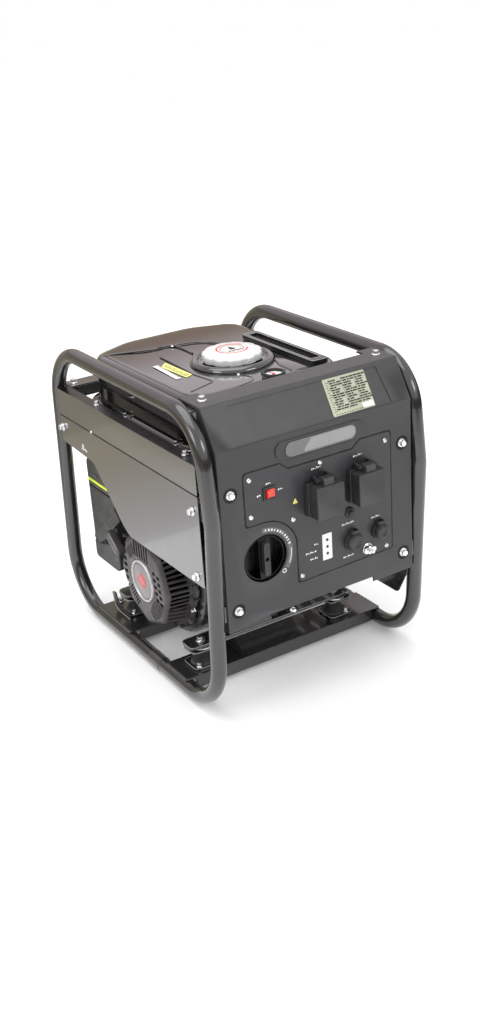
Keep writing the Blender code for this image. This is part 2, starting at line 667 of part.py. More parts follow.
def build_engine(cast, black, dark, gloss, steel, hot):
    case_outline = filleted(
        ((188, 50), (322, 50), (324, 150), (300, 212), (232, 226), (188, 196)), (14, 14, 10, 20, 30, 20), 30
    )
    case = part("crankcase", engine_side(case_outline, CASE_X0, CASE_X1), cast)
    barrel = engine_side(finned(55, 152, 40, 54, 9.5, 3), -41, 48)
    joined(case, barrel)
    crank = (CRANK_Y, CRANK_Z)
    crank_bore = rod("x", crank, 10.8, CASE_X0 - 5, CASE_X0 + 22, 24)
    cut(case, crank_bore, rod("x", DIPSTICK, 3.6, 40, CASE_X1 + 5, 16))

    part("cylinder_head", engine_side(finned(152.5, 178, 38, 52, 9, 3), -42, 47), cast)
    dome = ((178.5, -36), (196, -32), (200, -24), (200, 24), (196, 32), (178.5, 36))
    cover = [tilted(along, across) for along, across in dome]
    part("valve_cover", engine_side(cover, -36, 41), black, soften=3)
    plug = rod("z", (0, 0), 8.5, 52.5, 84, 18)
    plug.transform(Matrix.Rotation(CYLINDER_TILT, 4, "X"))
    plug.transform(Matrix.Translation((22, *tilted(165, 0))))
    part("spark_plug_cap", plug, dark)

    carb = part("carburettor", rod("x", (404, 222), 18, -74.6, -42.4, 24), cast)
    joined(carb, rod("z", (-58, 404), 15, 176, 215, 24))

    route = ((-58, 300, 351.6), (-58, 302, 335), (-58, 320, 310))
    route += ((-58, 360, 295), (-58, 395, 278), (-58, 404, 241))
    hose = swept(smooth_route(route, 14), 4.0, 8, Vector((1, 0, 0)), False)
    part("fuel_hose", hose, dark)

    face = CASE_X1 + GAP
    dip = [(0, CASE_X1 + 14), (9, CASE_X1 + 14), (11, CASE_X1 + 11), (11, face), (3, face), (3, 48), (0, 48)]
    part("oil_dipstick", turned(dip, "x", DIPSTICK, 20), dark, (CASE_X1, *DIPSTICK))

    build_starter(crank, dark, steel, black, gloss)
    build_air_cleaner(black, dark)

    box = rounded_rectangle(84, 148, 345, 452, 22)
    muffler = part("muffler", prism(box, "z", 188, 296), hot, soften=3)
    pipe = rod("x", (404, 222), 11, 47.6, 90, 20)
    outlet = rod("y", (116, 262), 12, 440, 476, 20)
    joined(muffler, pipe, outlet)
    cut(muffler, rod("y", (116, 262), 9.5, 446, 480, 20))


def smooth_route(points, count):
    """Points along a smooth curve through these."""
    knots = [Vector(p) for p in points]
    knots = [2 * knots[0] - knots[1], *knots, 2 * knots[-1] - knots[-2]]
    spans = len(points) - 1
    result = []
    for i in range(count + 1):
        at = min(i * spans / count, spans - 1e-9)
        k, t = int(at), at - int(at)
        a, b, c, d = knots[k : k + 4]
        square, cube = a * 2 - b * 5 + c * 4 - d, b * 3 - a - c * 3 + d
        curve = (b * 2 + (c - a) * t + square * t**2 + cube * t**3) / 2
        result.append(tuple(curve))
    return result


def octagon(angle):
    """How far an eight-sided outline with cut corners reaches, as a share of its corner radius."""
    sector = math.pi / 4
    off = (angle % sector) - sector / 2
    return min(0.985, math.cos(sector / 2) / math.cos(off))


def build_starter(crank, dark, steel, black, gloss):
    """Recoil starter, blower housing, flywheel with its magnets and fan, stator and crankshaft."""
    shell = [
        (0, RECOIL_FACE), (72, RECOIL_FACE), (79, RECOIL_FACE + 6), (85, -134), (94, -134), (94, -128),
        (81, -128), (75.5, RECOIL_FACE + 9), (69, RECOIL_FACE + 3.5), (5.6, RECOIL_FACE + 3.5),
        (5.6, -148), (0, -148),
    ]
    housing = part("recoil_housing", turned(shell, "x", crank, 32, octagon), dark)
    slots = []
    for i in range(20):
        angle = math.tau * i / 20
        if abs(math.degrees(angle) - 24) < 14:
            continue
        slot = block(RECOIL_FACE + 13, -139, 70, 92, -2.6, 2.6)
        slot.transform(Matrix.Rotation(angle, 4, "X"))
        slots.append(slot)
    for i in range(12):
        angle = math.tau * (i + 0.5) / 12
        slot = block(RECOIL_FACE - 4, RECOIL_FACE + 7, 39, 66, -2.8, 2.8)
        slot.transform(Matrix.Rotation(angle, 4, "X"))
        slots.append(slot)
    for slot in slots:
        slot.transform(Matrix.Translation((0, *crank)))
    cut(housing, merged(*slots))
    guide = block(-160, -150, 316, GRIP_Y + 9, GRIP_Z - 8, GRIP_Z + 8)
    joined(housing, guide)
    cut(housing, rod("x", (GRIP_Y, GRIP_Z), 4.2, -170, -140, 16))
    back = RECOIL_FACE - GAP
    emblem = [(0, RECOIL_FACE - 3), (28, RECOIL_FACE - 3), (31, RECOIL_FACE - 1.5), (31, back), (0, back)]
    part("recoil_emblem", turned(emblem, "x", crank, 32), steel)

    pulley = [(6, -170), (52, -170), (52, -167), (44, -163), (44, -159), (52, -155), (52, -152), (6, -152)]
    part("recoil_pulley", turned(pulley, "x", crank, 24), dark, (-160, *crank))
    grip = prism(rounded_rectangle(-24, 24, -7, 7, 6.5), "x", -184, -170)
    grip.transform(Matrix.Rotation(GRIP_TILT, 4, "X"))
    grip.transform(Matrix.Translation((0, GRIP_Y, GRIP_Z)))
    handle = part("recoil_grip", grip, dark, (-170, GRIP_Y, GRIP_Z), soften=2)
    ferrule = [(0, -172), (7, -172), (4, -163), (3.6, -151), (0, -151)]
    joined(handle, turned(ferrule, "x", (GRIP_Y, GRIP_Z), 16))

    drum = [
        (70, BLOWER_X0), (BLOWER_R - 6, BLOWER_X0), (BLOWER_R, BLOWER_X0 + 6), (BLOWER_R, -92),
        (BLOWER_R - 4, -90), (BLOWER_R - 4, -82), (BLOWER_R, -80), (BLOWER_R, BLOWER_X1),
        (BLOWER_R - 7, BLOWER_X1), (BLOWER_R - 7, BLOWER_X0 + 6), (BLOWER_R - 9, BLOWER_X0 + 3.2),
        (70, BLOWER_X0 + 3.2),
    ]
    blower = part("blower_housing", turned(drum, "x", crank, 32), black)
    cut(blower, block(-112, -60, 320, 372, 130, 200))

    shaft = [(0, -143), (10, -143), (10, CASE_X0 + 18), (0, CASE_X0 + 18)]
    part("crankshaft", turned(shaft, "x", crank, 24), steel, (-100, *crank))
    wheel = [
        (10.3, -122), (26, -122), (26, -110), (82, -110), (88, -106), (88, -68), (81.5, -68),
        (81.5, -104), (24, -104), (24, -100.6), (10.3, -100.6),
    ]
    rotor = part("flywheel_rotor", turned(wheel, "x", crank, 24), cast_grey(), (-100, *crank))
    for i in range(8):
        blade = block(-121.5, -109, 40, 84, -1.6, 1.6)
        blade.transform(Matrix.Rotation(math.tau * i / 8, 4, "X"))
        blade.transform(Matrix.Translation((0, *crank)))
        joined(rotor, blade)
    stator = [(16, -99), (78, -99), (78, -76), (38, -76), (38, CASE_X0 - GAP), (16, CASE_X0 - GAP)]
    part("alternator_stator", turned(stator, "x", crank, 24), copper())


def cast_grey():
    return material("cast_iron_grey", (0.22, 0.22, 0.23), 0.5, 0.8)


def copper():
    return material("copper_windings", (0.45, 0.2, 0.08), 0.4, 0.8)


def build_air_cleaner(black, dark):
    outline = filleted(
        ((357, 107), (449, 107), (449, 292), (332, 292), (332, 256), (357, 236)), (14, 8, 12, 8, 4, 10), 30
    )
    part("air_cleaner_base", engine_side(outline, -97.5, -75), black)
    cover = part("air_cleaner_cover", engine_side(outline, -165, -98), black, soften=3)
    inset = [(y + (4 if y < 400 else -4), z + (4 if z < 200 else -4)) for y, z in outline]
    cut(cover, engine_side(inset, -161, -90))
    clip = filleted(((451, 158), (454.5, 158), (454.5, 188), (451, 188)), (0, 1.2, 1.2, 0), 30)
    latch = part("air_cover_clip", prism(clip, "x", -128, -88), dark, (-88, 450, 173))
    joined(latch, block(-131, -126, 450.2, 456.5, 160, 186))


def build_inverter(aluminium):
    fins = [(52, 172), (96, 172)]
    z = 178.0
    while z < 328:
        fins += [(96, z), (112, z), (112, z + 3), (96, z + 3)]
        z += 12
    fins += [(96, 334), (52, 334)]
    part("inverter_module", prism(fins, "x", -55, 125), aluminium)


def build():
    clear_scene()
    frame_black = material("frame_black", (0.012, 0.012, 0.013), 0.25)
    sheet_black = material("sheet_black", (0.014, 0.014, 0.015), 0.16)
    cover_plastic = material("cover_plastic", (0.035, 0.035, 0.038), 0.38)
    dark_plastic = material("dark_plastic", (0.014, 0.014, 0.015), 0.45)
    tank_gloss = material("tank_gloss", (0.008, 0.008, 0.009), 0.08)
    rubber = material("rubber", (0.02, 0.02, 0.02), 0.85)
    label = material("label_light", (0.62, 0.66, 0.55), 0.4)
    badge_grey = material("badge_grey", (0.2, 0.2, 0.22), 0.35)
    rocker_red = material("rocker_red", (0.6, 0.02, 0.02), 0.35)
    chrome = material("chrome", (0.85, 0.85, 0.86), 0.12, 1.0)
    steel = material("steel", (0.55, 0.55, 0.56), 0.3, 1.0)
    cast = material("cast_aluminium", (0.3, 0.3, 0.31), 0.5, 0.9)
    hot = material("muffler_steel", (0.1, 0.1, 0.1), 0.55, 0.7)

    build_frame(frame_black, rubber)
    build_side_panels(sheet_black)
    build_cover(cover_plastic)
    build_panel(cover_plastic, dark_plastic, label, badge_grey, rocker_red, chrome)
    build_knob(dark_plastic)
    build_tank(tank_gloss, dark_plastic, chrome, label)
    build_engine(cast, frame_black, dark_plastic, tank_gloss, steel, hot)
    build_inverter(cast)


build()
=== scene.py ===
"""The looks of the open-frame inverter generator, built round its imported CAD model.

Sizes are millimetres in the code. X is right as seen from the control panel, Y runs back from the
face of the front cover, and Z is up from the floor.
"""

import json
import math

import bmesh
import bpy
from mathutils import Matrix, Vector


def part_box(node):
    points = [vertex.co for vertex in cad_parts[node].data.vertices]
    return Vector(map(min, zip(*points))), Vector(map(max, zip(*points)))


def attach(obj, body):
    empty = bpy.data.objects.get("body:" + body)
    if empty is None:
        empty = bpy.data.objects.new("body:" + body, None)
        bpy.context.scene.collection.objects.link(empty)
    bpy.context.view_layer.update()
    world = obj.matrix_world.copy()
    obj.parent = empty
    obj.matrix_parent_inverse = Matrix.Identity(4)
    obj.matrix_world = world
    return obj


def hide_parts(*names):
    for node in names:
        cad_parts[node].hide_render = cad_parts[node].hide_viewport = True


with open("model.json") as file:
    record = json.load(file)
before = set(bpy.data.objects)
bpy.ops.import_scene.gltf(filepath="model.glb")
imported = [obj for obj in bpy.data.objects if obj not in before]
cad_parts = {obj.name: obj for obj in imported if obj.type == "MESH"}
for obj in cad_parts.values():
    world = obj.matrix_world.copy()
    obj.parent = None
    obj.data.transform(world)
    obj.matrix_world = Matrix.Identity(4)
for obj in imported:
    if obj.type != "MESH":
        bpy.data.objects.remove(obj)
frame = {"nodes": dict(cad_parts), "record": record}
NODES = frame["nodes"]
SLOTS = {entry["node"]: entry["material_slot"] for entry in frame["record"]["subparts"]}
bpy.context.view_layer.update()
MM = 0.001
BADGE_PROUD = 2.6
FACE_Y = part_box("front_cover")[0][1] / MM + BADGE_PROUD

COVER_BEND, COVER_TOP, CREASE_Y = 430.0, 488.0, 34.0
KNOB_X, KNOB_Z = -99.6, 252.3
CRANK_Y, CRANK_Z = 248.0, 142.0
CAP_X, CAP_Y = 0.0, 222.0
GAUGE_X, GAUGE_Y = 6.0, 116.0
TANK_TOP = 474.0
TANK_CORNERS = ((-148, 96), (128, 96), (128, 418), (52, 456), (-72, 456), (-148, 418))
TANK_ROUNDING = (48, 48, 40, 70, 70, 40)
TUBE_R, LOOP_X = 12.0, 182.0
GRIP_Y, GRIP_Z = 340.0, 175.0
PANEL_FACE = -0.6
KNOB_R = 35.6
AC_CENTRES = ((-3.0, 324.5), (71.5, 324.5))
DC_CENTRES = ((53.5, 233.0, 14.0), (102.7, 236.0, 12.0))
ROCKER, BREAKER, EARTH = (-87.0, 351.0), (49.5, 281.0), (80.4, 211.8)
PANEL_SCREWS = (
    (-119.5, 378.4), (-120.1, 322.3), (-50, 298.8), (0.6, 372.9), (117.3, 376.6), (116.7, 205.8), (-39, 204.7),
)
CYLINDER_TILT = 25
SHARP_ANGLE = math.radians(32)


# Materials


def nodes_of(name):
    made = bpy.data.materials.new(name)
    made.use_nodes = True
    tree = made.node_tree
    return made, tree, tree.nodes["Principled BSDF"]


def noise(tree, vector, scale, detail=2.0, stretch=None):
    """A noise texture on the piece's own position, in metres."""
    if stretch:
        mapping = tree.nodes.new("ShaderNodeMapping")
        mapping.inputs["Scale"].default_value = stretch
        tree.links.new(vector, mapping.inputs["Vector"])
        vector = mapping.outputs["Vector"]
    texture = tree.nodes.new("ShaderNodeTexNoise")
    texture.inputs["Scale"].default_value = scale
    texture.inputs["Detail"].default_value = detail
    tree.links.new(vector, texture.inputs["Vector"])
    return texture.outputs["Fac"]


def ramp(tree, value, low, high, start, end):
    """value from low to high becomes start to end."""
    mapped = tree.nodes.new("ShaderNodeMapRange")
    for socket, number in zip(("From Min", "From Max", "To Min", "To Max"), (low, high, start, end)):
        mapped.inputs[socket].default_value = number
    tree.links.new(value, mapped.inputs["Value"])
    return mapped.outputs["Result"]


def mixed(tree, factor, first, second):
    """first to second by factor. Each is a colour or another node's output."""
    mix = tree.nodes.new("ShaderNodeMix")
    mix.data_type = "RGBA"
    for socket, value in (("A", first), ("B", second)):
        if isinstance(value, tuple):
            mix.inputs[socket].default_value = (*value, 1.0)
        else:
            tree.links.new(value, mix.inputs[socket])
    tree.links.new(factor, mix.inputs["Factor"])
    return mix.outputs["Result"]


MATERIALS = {}
DUST = (0.45, 0.43, 0.4)


def surface(
    name, colour, roughness, metallic=0.0, coat=0.0, ior=1.5, grain=None, wave=None, vary=0.25, worn=None,
    brushed=None, dust=0.0, smear=1.0,
):
    """A finish with colour and gloss variation, grain or waviness as bump, and worn edges.

    grain and wave are (strength, scale).
    """
    made, tree, shader = nodes_of(name)
    place = tree.nodes.new("ShaderNodeTexCoord").outputs["Object"]
    dark = tuple(c * (1 - vary) for c in colour)
    light = tuple(min(1.0, c * (1 + vary)) for c in colour)
    cloud = noise(tree, place, 22.0, 4.0)
    base = mixed(tree, ramp(tree, cloud, 0.35, 0.65, 0.0, 1.0), dark, light)
    if dust:
        geometry = tree.nodes.new("ShaderNodeNewGeometry")
        split = tree.nodes.new("ShaderNodeSeparateXYZ")
        tree.links.new(geometry.outputs["Normal"], split.inputs["Vector"])
        base = mixed(tree, ramp(tree, split.outputs["Z"], 0.5, 1.0, 0.0, dust), base, DUST)
    if worn:
        geometry = tree.nodes.new("ShaderNodeNewGeometry")
        base = mixed(tree, ramp(tree, geometry.outputs["Pointiness"], 0.53, 0.6, 0.0, 0.55), base, worn)
    tree.links.new(base, shader.inputs["Base Color"])
    smudge = noise(tree, place, 60.0, 5.0, brushed)
    glossiest = max(0.02, roughness * (1 - 0.25 * smear))
    dullest = min(1.0, roughness * (1 + 0.3 * smear))
    tree.links.new(ramp(tree, smudge, 0.3, 0.7, glossiest, dullest), shader.inputs["Roughness"])
    shader.inputs["Metallic"].default_value = metallic
    shader.inputs["IOR"].default_value = ior
    shader.inputs["Coat Weight"].default_value = coat
    shader.inputs["Coat Roughness"].default_value = 0.06
    normal = None
    for relief, detail, distance in ((grain, 2.0, 0.0002), (wave, 1.0, 0.002)):
        if not relief:
            continue
        strength, scale = relief
        bump = tree.nodes.new("ShaderNodeBump")
        bump.inputs["Strength"].default_value = strength
        bump.inputs["Distance"].default_value = distance
        tree.links.new(noise(tree, place, scale, detail, brushed), bump.inputs["Height"])
        if normal:
            tree.links.new(normal, bump.inputs["Normal"])
        normal = bump.outputs["Normal"]
    if normal:
        tree.links.new(normal, shader.inputs["Normal"])
    MATERIALS[name] = made


surface(
    "frame_black", (0.012, 0.012, 0.0125), 0.2, coat=0.6, ior=1.7, grain=(0.12, 420.0), vary=0.2,
    worn=(0.05, 0.05, 0.05),
)
surface(
    "sheet_black", (0.018, 0.017, 0.017), 0.2, coat=0.7, ior=2.5, grain=(0.05, 500.0), wave=(0.1, 9.0),
    vary=0.1, worn=(0.08, 0.08, 0.08), smear=0.5,
)
surface("shelf_black", (0.008, 0.008, 0.008), 0.3, coat=0.3, ior=1.4, grain=(0.08, 600.0), vary=0.2)
surface(
    "cover_plastic", (0.036, 0.0345, 0.0375), 0.4, grain=(0.25, 1500.0), vary=0.05, worn=(0.075, 0.075, 0.08),
    dust=0.03, smear=0.2,
)
surface("panel_film", (0.033, 0.032, 0.0355), 0.36, grain=(0.12, 2200.0), vary=0.04, smear=0.3)
surface("dark_plastic", (0.014, 0.014, 0.015), 0.42, grain=(0.3, 1100.0), vary=0.2, worn=(0.05, 0.05, 0.05))
surface("recoil_plastic", (0.05, 0.045, 0.046), 0.36, grain=(0.25, 900.0), vary=0.2, worn=(0.1, 0.09, 0.09))
surface("tank_gloss", (0.009, 0.009, 0.01), 0.06, coat=1.0, ior=1.7, grain=(0.02, 300.0), wave=(0.04, 14.0), vary=0.2)
surface(
    "filter_plastic", (0.045, 0.047, 0.046), 0.5, grain=(0.35, 800.0), vary=0.12, worn=(0.12, 0.12, 0.12),
    dust=0.05,
)
# Pale grey for the filter band and filler ring, and for painted highlights: thin beads along the edges of black parts
# stand in for the light caught there.
surface("edge_grey", (0.3, 0.29, 0.29), 0.4, grain=(0.2, 900.0), vary=0.15)
surface("rubber", (0.02, 0.02, 0.02), 0.8, grain=(0.4, 700.0), vary=0.25, dust=0.15)
surface("badge_grey", (0.15, 0.15, 0.155), 0.35, grain=(0.08, 1800.0), vary=0.06)
surface("badge_light", (0.27, 0.27, 0.275), 0.32, grain=(0.08, 1800.0), vary=0.06)
surface("rocker_red", (0.72, 0.035, 0.02), 0.25, coat=0.4, vary=0.08)
surface("chrome", (0.82, 0.82, 0.83), 0.14, metallic=1.0, grain=(0.08, 700.0), vary=0.06)
surface("zinc", (0.78, 0.78, 0.8), 0.26, metallic=1.0, grain=(0.2, 900.0), vary=0.12, worn=(0.9, 0.9, 0.9))
surface("steel", (0.55, 0.55, 0.56), 0.3, metallic=1.0, grain=(0.2, 300.0), vary=0.1, brushed=(40.0, 1.0, 1.0))
surface("emblem", (0.28, 0.26, 0.27), 0.32, metallic=0.3, grain=(0.1, 600.0), vary=0.1)
surface("emblem_red", (0.5, 0.07, 0.08), 0.35, vary=0.15)
surface(
    "cast_aluminium", (0.34, 0.34, 0.35), 0.48, metallic=0.9, grain=(0.7, 520.0), vary=0.2,
    worn=(0.6, 0.6, 0.6), dust=0.08,
)
surface("cast_iron_grey", (0.16, 0.16, 0.165), 0.55, metallic=0.8, grain=(0.8, 380.0), vary=0.25)
surface(
    "copper_windings", (0.5, 0.2, 0.07), 0.35, metallic=0.9, grain=(0.8, 260.0), vary=0.3,
    brushed=(1.0, 6.0, 6.0),
)
surface(
    "muffler_steel", (0.09, 0.085, 0.08), 0.5, metallic=0.7, grain=(0.5, 500.0), vary=0.35,
    worn=(0.25, 0.22, 0.2),
)
surface("mark_white", (0.78, 0.78, 0.78), 0.45, vary=0.05)
surface("mark_grey", (0.32, 0.32, 0.33), 0.4, vary=0.1)
surface("scale_grey", (0.12, 0.12, 0.125), 0.4, vary=0.3)
surface("hatch_green", (0.1, 0.11, 0.08), 0.4, vary=0.15)
surface("rocker_lens", (0.85, 0.16, 0.1), 0.12, coat=0.8, vary=0.05)
# Near-black of the engine knob, also used as painted shade on the cup lining the knob's recess in the cover.
surface("knob_black_and_recess_shade", (0.003, 0.003, 0.0035), 0.3, ior=1.35, grain=(0.1, 1200.0), vary=0.15)
surface("lid_plastic", (0.026, 0.026, 0.028), 0.4, grain=(0.25, 1300.0), vary=0.1, worn=(0.06, 0.06, 0.062))
surface("cap_metal", (0.78, 0.77, 0.775), 0.24, metallic=0.3, grain=(0.12, 800.0), vary=0.06, worn=(0.8, 0.8, 0.8))
surface("cap_paper", (0.72, 0.69, 0.68), 0.3, coat=0.3, vary=0.05)
surface("tray_black", (0.012, 0.012, 0.013), 0.25, coat=0.3, grain=(0.15, 900.0), vary=0.2)
surface("emblem_rim", (0.55, 0.54, 0.55), 0.3, metallic=0.6, grain=(0.1, 600.0), vary=0.08)
surface("emblem_pink", (0.62, 0.2, 0.22), 0.35, vary=0.1)
surface(
    "blower_black", (0.013, 0.0125, 0.012), 0.28, coat=0.4, ior=1.6, grain=(0.1, 500.0), wave=(0.05, 30.0),
    vary=0.25, worn=(0.05, 0.05, 0.05),
)
surface("ink", (0.012, 0.013, 0.012), 0.4, vary=0.1)
surface("label_light", (0.4, 0.41, 0.3), 0.35, grain=(0.05, 900.0), vary=0.08)
surface("label_yellow", (0.74, 0.72, 0.2), 0.35, vary=0.06)
surface("strip_yellow", (0.66, 0.8, 0.04), 0.3, vary=0.06)
surface("label_red", (0.62, 0.03, 0.04), 0.35, vary=0.08)
# Painted shade: near-black for the shaded inside behind the recoil housing's slots.
surface("painted_shade_black", (0.002, 0.002, 0.002), 1.0, ior=1.05, vary=0.2)
# Black for seals, bolt rings and socket surrounds, and also painted shade: strips and patches put in grooves, gaps
# and slots where only shade falls.
surface("seal_and_shade_black", (0.006, 0.006, 0.006), 0.7, vary=0.2)

for name, slot in SLOTS.items():
    node = NODES[name]
    node.data.materials.clear()
    node.data.materials.append(MATERIALS[slot])
    node.data.shade_smooth()
    node.data.set_sharp_from_angle(angle=SHARP_ANGLE)

for name, finish in (("control_panel", "panel_film"), ("recoil_emblem", "emblem")):
    NODES[name].data.materials[0] = MATERIALS[finish]


# Meshes, in millimetres


def lifted(u, v, w, axis):
    return {"x": (w, u, v), "y": (u, w, v), "z": (u, v, w)}[axis]


def new_mesh(points, faces):
    mesh = bmesh.new()
    corners = [mesh.verts.new(point) for point in points]
    for face in faces:
        mesh.faces.new([corners[i] for i in face])
    bmesh.ops.recalc_face_normals(mesh, faces=mesh.faces)
    return mesh


def block(x0, x1, y0, y1, z0, z1):
    points = [(x, y, z) for x in (x0, x1) for y in (y0, y1) for z in (z0, z1)]
    faces = [(0, 1, 3, 2), (4, 6, 7, 5), (0, 4, 5, 1), (2, 3, 7, 6), (0, 2, 6, 4), (1, 5, 7, 3)]
    return new_mesh(points, faces)


def prism(outline, axis, low, high):
    count = len(outline)
    points = [lifted(u, v, w, axis) for w in (low, high) for u, v in outline]
    sides = [(i, (i + 1) % count, count + (i + 1) % count, count + i) for i in range(count)]
    return new_mesh(points, [tuple(range(count)), tuple(range(count, 2 * count))] + sides)


def turned(profile, axis, centre, sides=48, radius_at=None):
    """A closed (radius, along) profile turned about a line along axis through centre."""
    points, rings = [], []
    for radius, along in profile:
        ring = []
        for i in range(sides if radius > 0 else 1):
            angle = math.tau * (i + 0.5) / sides
            reach = radius * (radius_at(angle, radius) if radius_at else 1.0)
            point = lifted(centre[0] + reach * math.cos(angle), centre[1] + reach * math.sin(angle), along, axis)
            ring.append(len(points))
            points.append(point)
        rings.append(ring)
    faces = []
    for first, second in zip(rings, rings[1:] + rings[:1]):
        if len(first) == len(second) == 1:
            continue
        for i in range(sides):
            corners = [first[i % len(first)], first[(i + 1) % len(first)]]
            corners += [second[(i + 1) % len(second)], second[i % len(second)]]
            faces.append(tuple(dict.fromkeys(corners)))
    return new_mesh(points, faces)


def rod(axis, centre, radius, low, high, sides=40):
    return turned([(0, low), (radius, low), (radius, high), (0, high)], axis, centre, sides)


def filleted(corners, radii, step_degrees=10.0, closed=True):
    """The polyline through these corners with each rounded to its radius."""
    count, points = len(corners), []
    for i, (corner, radius) in enumerate(zip(corners, radii)):
        here = Vector(corner)
        if radius == 0 or (not closed and i in (0, count - 1)):
            points.append(tuple(here))
            continue
        into = (Vector(corners[i - 1]) - here).normalized()
        out = (Vector(corners[(i + 1) % count]) - here).normalized()
        half = into.angle(out) / 2
        centre = here + (into + out).normalized() * (radius / math.sin(half))
        start = here + into * (radius / math.tan(half)) - centre
        end = here + out * (radius / math.tan(half)) - centre
        sweep = math.pi - 2 * half
        steps = max(1, math.ceil(math.degrees(sweep) / step_degrees))
        for k in range(steps + 1):
            a, b = math.sin(sweep * (1 - k / steps)), math.sin(sweep * k / steps)
            points.append(tuple(centre + (start * a + end * b) / math.sin(sweep)))
    return points


def around(centre, reach, degrees):
    """The point at this reach and angle from centre."""
    angle = math.radians(degrees)
    return centre[0] + reach * math.cos(angle), centre[1] + reach * math.sin(angle)


def rounded_rectangle(x0, x1, y0, y1, radius, step_degrees=10.0):
    return filleted(((x0, y0), (x1, y0), (x1, y1), (x0, y1)), (radius,) * 4, step_degrees)


def slab(axis, low, high, *outline):
    """A prism whose outline is this rounded rectangle."""
    return prism(rounded_rectangle(*outline), axis, low, high)


def swept(path, radius, sides, across, closed):
    """A round tube along path."""
    points, count = [], len(path)
    for i, centre in enumerate(path):
        before = Vector(path[i - 1] if closed or i else path[0])
        after = Vector(path[(i + 1) % count] if closed or i < count - 1 else path[-1])
        tangent = (after - before).normalized()
        side = (across - tangent * across.dot(tangent)).normalized()
        up = tangent.cross(side)
        for k in range(sides):
            angle = math.tau * k / sides
            points.append(tuple(Vector(centre) + (side * math.cos(angle) + up * math.sin(angle)) * radius))
    faces = []
    for i in range(count if closed else count - 1):
        low, high = i * sides, (i + 1) % count * sides
        faces += [(low + k, low + (k + 1) % sides, high + (k + 1) % sides, high + k) for k in range(sides)]
    if not closed:
        faces += [tuple(range(sides)), tuple(range((count - 1) * sides, count * sides))]
    return new_mesh(points, faces)


def skinned(rings):
    """A solid through rings with as many points each, with both ends filled."""
    count = len(rings[0])
    points = [point for ring in rings for point in ring]
    faces = [tuple(range(count)), tuple(range(len(points) - count, len(points)))]
    for i in range(len(rings) - 1):
        low, high = i * count, (i + 1) * count
        faces += [(low + k, low + (k + 1) % count, high + (k + 1) % count, high + k) for k in range(count)]
    return new_mesh(points, faces)


def grown(corners, distance):
    """A convex outline's corners, moved outwards by distance."""
    result, count = [], len(corners)
    for i, corner in enumerate(corners):
        here = Vector(corner)
        before = (here - Vector(corners[i - 1])).normalized()
        after = (Vector(corners[(i + 1) % count]) - here).normalized()
        first, second = Vector((before.y, -before.x)), Vector((after.y, -after.x))
        share = distance / (1 + first.dot(second))
        result.append(tuple(here + (first + second) * share))
    return result


def smooth_route(points, count):
    """Points along a smooth curve through these."""
    knots = [Vector(p) for p in points]
    knots = [2 * knots[0] - knots[1], *knots, 2 * knots[-1] - knots[-2]]
    spans = len(points) - 1
    result = []
    for i in range(count + 1):
        at = min(i * spans / count, spans - 1e-9)
        k, t = int(at), at - int(at)
        a, b, c, d = knots[k : k + 4]
        square, cube = a * 2 - b * 5 + c * 4 - d, b * 3 - a - c * 3 + d
        result.append(tuple((b * 2 + (c - a) * t + square * t**2 + cube * t**3) / 2))
    return result


def bead(points, radius, sides=10, closed=False):
    return swept(points, radius, sides, Vector((0.31, 0.22, 0.92)), closed)


def merged(*meshes):
    whole = bmesh.new()
    for mesh in meshes:
        part = bpy.data.meshes.new("part")
        mesh.to_mesh(part)
        whole.from_mesh(part)
        bpy.data.meshes.remove(part)
        mesh.free()
    return whole


# Pieces


def placed(name, mesh):
    mesh.transform(Matrix.Translation((0, FACE_Y, 0)))
    mesh.transform(Matrix.Scale(MM, 4))
    data = bpy.data.meshes.new(name)
    mesh.to_mesh(data)
    mesh.free()
    made = bpy.data.objects.new(name, data)
    bpy.context.scene.collection.objects.link(made)
    return made


def bevelled(target, width, segments, degrees):
    """Rounds the edges of target that turn by more than this angle."""
    bevel = target.modifiers.new("edges", "BEVEL")
    bevel.width = width * MM
    bevel.segments = segments
    bevel.limit_method = "ANGLE"
    bevel.angle_limit = math.radians(degrees)
    return bevel


def piece(name, mesh, finish, body="chassis", soften=0.0, replaces=None, slot=None, smooth=32.0, segments=3):
    """A detailed piece in its final place, riding on a body.

    mesh may be a list of meshes to merge. A piece that replaces a CAD node hides that node.
    slot is not used.
    """
    made = placed(name, merged(*mesh) if isinstance(mesh, list) else mesh)
    made.data.materials.append(MATERIALS[finish])
    made.data.shade_smooth()
    made.data.set_sharp_from_angle(angle=math.radians(smooth))
    if soften:
        bevelled(made, soften, segments, 38).harden_normals = True
    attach(made, body)
    if replaces:
        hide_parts(replaces)
        slot = slot or SLOTS[replaces]
    return made


def cut(target, *meshes):
    """Cuts these meshes from target, and applies the cut."""
    for mesh in meshes:
        helper = placed("cutter", mesh)
        change = target.modifiers.new("cut", "BOOLEAN")
        change.operation = "DIFFERENCE"
        change.object = helper
        change.solver = "EXACT"
        target.modifiers.move(len(target.modifiers) - 1, 0)
        with bpy.context.temp_override(object=target, active_object=target):
            bpy.ops.object.modifier_apply(modifier="cut")
        bpy.data.objects.remove(helper)
    target.data.set_sharp_from_angle(angle=SHARP_ANGLE)
    return target


# Frame


